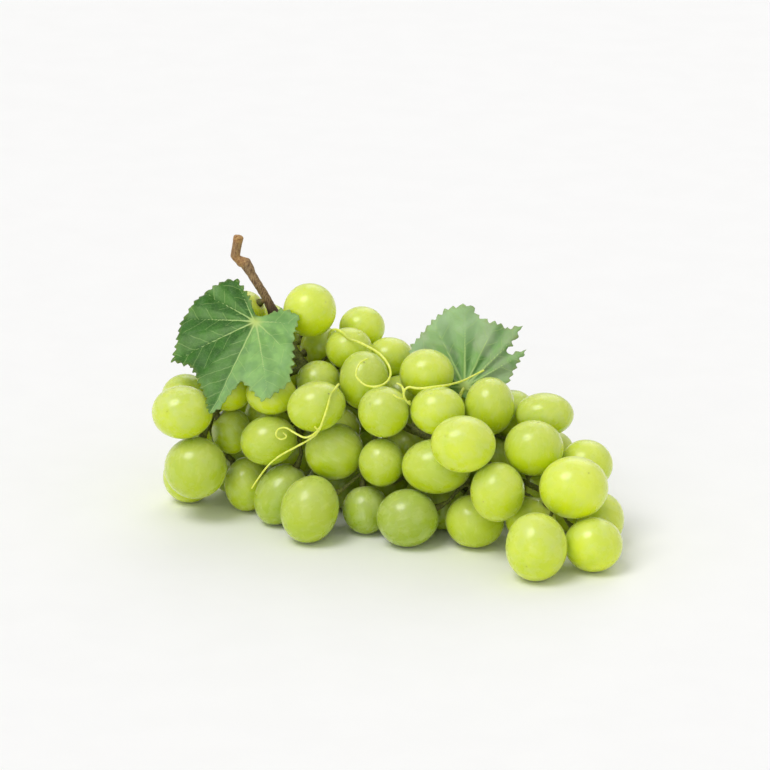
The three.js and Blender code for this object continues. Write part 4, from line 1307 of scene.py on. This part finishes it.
def leaf(name, spec):
    """A vine leaf: a thin toothed blade draped over the berries, with its veins, and a petiole."""
    frame_of_leaf = leaf_frame(spec)
    face = frame_of_leaf[3]
    loop = leaf_loop(spec)
    flat, faces = blade_mesh(toothed(loop, spec["seed"]))
    moves, out = moves_at(flat, loop, *draped_moves(loop, frame_of_leaf))
    count = len(flat)
    flat3 = np.concatenate([flat, np.zeros((count, 1))], axis=1)
    reach = norms(flat)
    spread = neighbour_mean(faces, count)
    from_main, side_count, fade, pleat = veins = vein_values(flat, spec["veins"])
    sheet = folded_sheet(raised(flat, frame_of_leaf), moves, out, spread)
    sheet = sheet + face * sheet_relief(flat3, out, veins, spec["seed"])[:, None]
    sheet = settled(sheet, spread)
    corners, normals = facing_up(sheet, faces, face)
    thick = BLADE_THICKNESS * (RIM_THIN + (1 - RIM_THIN) * smooth_step(0, RIM_REACH, 1 - out)) / 2
    ridge = RIB_HEIGHT * mound(from_main, RIB_WIDTH) * np.clip(RIB_END - out, 0, 1)
    points = np.concatenate([sheet + normals * thick[:, None],
                             sheet - normals * (thick + ridge)[:, None]])
    # painted light: one half of the blade painted paler, as if lit, blended across the midrib
    blend = smooth_step(-MIDRIB_BLEND, MIDRIB_BLEND, flat[:, 1])
    painted_light = spec["painted_light"][1] * (1 - blend) + spec["painted_light"][0] * blend
    look_top = columns([np.zeros(count), painted_light, reach])
    look_under = columns([np.ones(count), np.maximum(painted_light, UNDER_LEAST_PAINTED_LIGHT), reach])
    vein = columns([from_main, side_count, fade])
    shading = np.sin(pleat) * smooth_step(*SHADE_START, reach)
    # edge: the rim, the pleats' painted shading, and the strength of the leaf's painted light and glare
    edge = columns([smooth_step(*RIM_SHARE, out), shading, np.full(count, spec["painted_light_strength"])])
    new_piece(f"{name}_blade", points, closed_shell(corners, count), leaf_material, [name], {
        "blade": np.concatenate([flat3, flat3 + UNDER_SHIFT]), "vein": np.concatenate([vein, vein]),
        "look": np.concatenate([look_top, look_under]), "edge": np.concatenate([edge, edge]),
    })
    petiole(name, sheet[np.argmin(reach)] - face * PETIOLE_SINK, spec["petiole"])


for name, spec in LEAVES.items():
    leaf(name, spec)


# Floor, light and camera ----------

# The camera stands where the photograph's did (m, and mm for the lens)
VIEW_TURN = math.radians(32.6)
VIEW_RISE = math.radians(19)
VIEW_DISTANCE = 1.5
VIEW_TARGET = Vector((-0.00004, -0.01658, 0.0596))
LENS = 185.8
SENSOR = 36
NEAREST = 0.05
FARTHEST = 30

FLOOR_SIZE = 14.0
FLOOR_DROP = 0.0002
WORLD_STRENGTH = 0.57

# Soft far lights: azimuth and elevation (degrees), strength, spread (degrees) and colour
SUNS = {
    "key": (-18, 60, 1.3, 30, (1.0, 0.99, 0.97)),
    "rim": (200, 40, 0.4, 40, (1.0, 1.0, 1.0)),
    "front": (15, 18, 0.25, 40, (1.0, 1.0, 0.98)),
}


def back_from(turn, rise):
    """The way from the bunch toward an azimuth and elevation, counted as the camera's are."""
    return Vector((math.sin(turn) * math.cos(rise), -math.cos(turn) * math.cos(rise), math.sin(rise)))


def add_floor():
    mesh = bpy.data.meshes.new("floor")
    half = FLOOR_SIZE / 2
    corners = [(-half, -half, 0), (half, -half, 0), (half, half, 0), (-half, half, 0)]
    mesh.from_pydata(corners, [], [(0, 1, 2, 3)])
    mesh.materials.append(pale_floor())
    floor = placed("floor", mesh)
    floor.location.z = -FLOOR_DROP


def add_sun(name, azimuth, elevation, strength, spread, colour):
    light = bpy.data.lights.new(name, "SUN")
    light.energy = strength
    light.angle = math.radians(spread)
    light.color = colour
    back = back_from(math.radians(azimuth), math.radians(elevation))
    placed(name, light).rotation_euler = back.to_track_quat("Z", "Y").to_euler()


def add_world():
    world = bpy.data.worlds.new("studio")
    world.use_nodes = True
    background = world.node_tree.nodes["Background"]
    background.inputs["Color"].default_value = (1, 1, 1, 1)
    background.inputs["Strength"].default_value = WORLD_STRENGTH
    bpy.context.scene.world = world


def add_camera():
    camera = bpy.data.cameras.new("camera")
    camera.lens = LENS
    camera.sensor_width = SENSOR
    camera.clip_start, camera.clip_end = NEAREST, FARTHEST
    view = placed("camera", camera)
    back = back_from(VIEW_TURN, VIEW_RISE)
    view.location = VIEW_TARGET + back * VIEW_DISTANCE
    view.rotation_euler = back.to_track_quat("Z", "Y").to_euler()
    bpy.context.scene.camera = view


add_floor()
add_world()
for name, values in SUNS.items():
    add_sun(name, *values)
add_camera()
bpy.context.scene.view_settings.view_transform = "Standard"
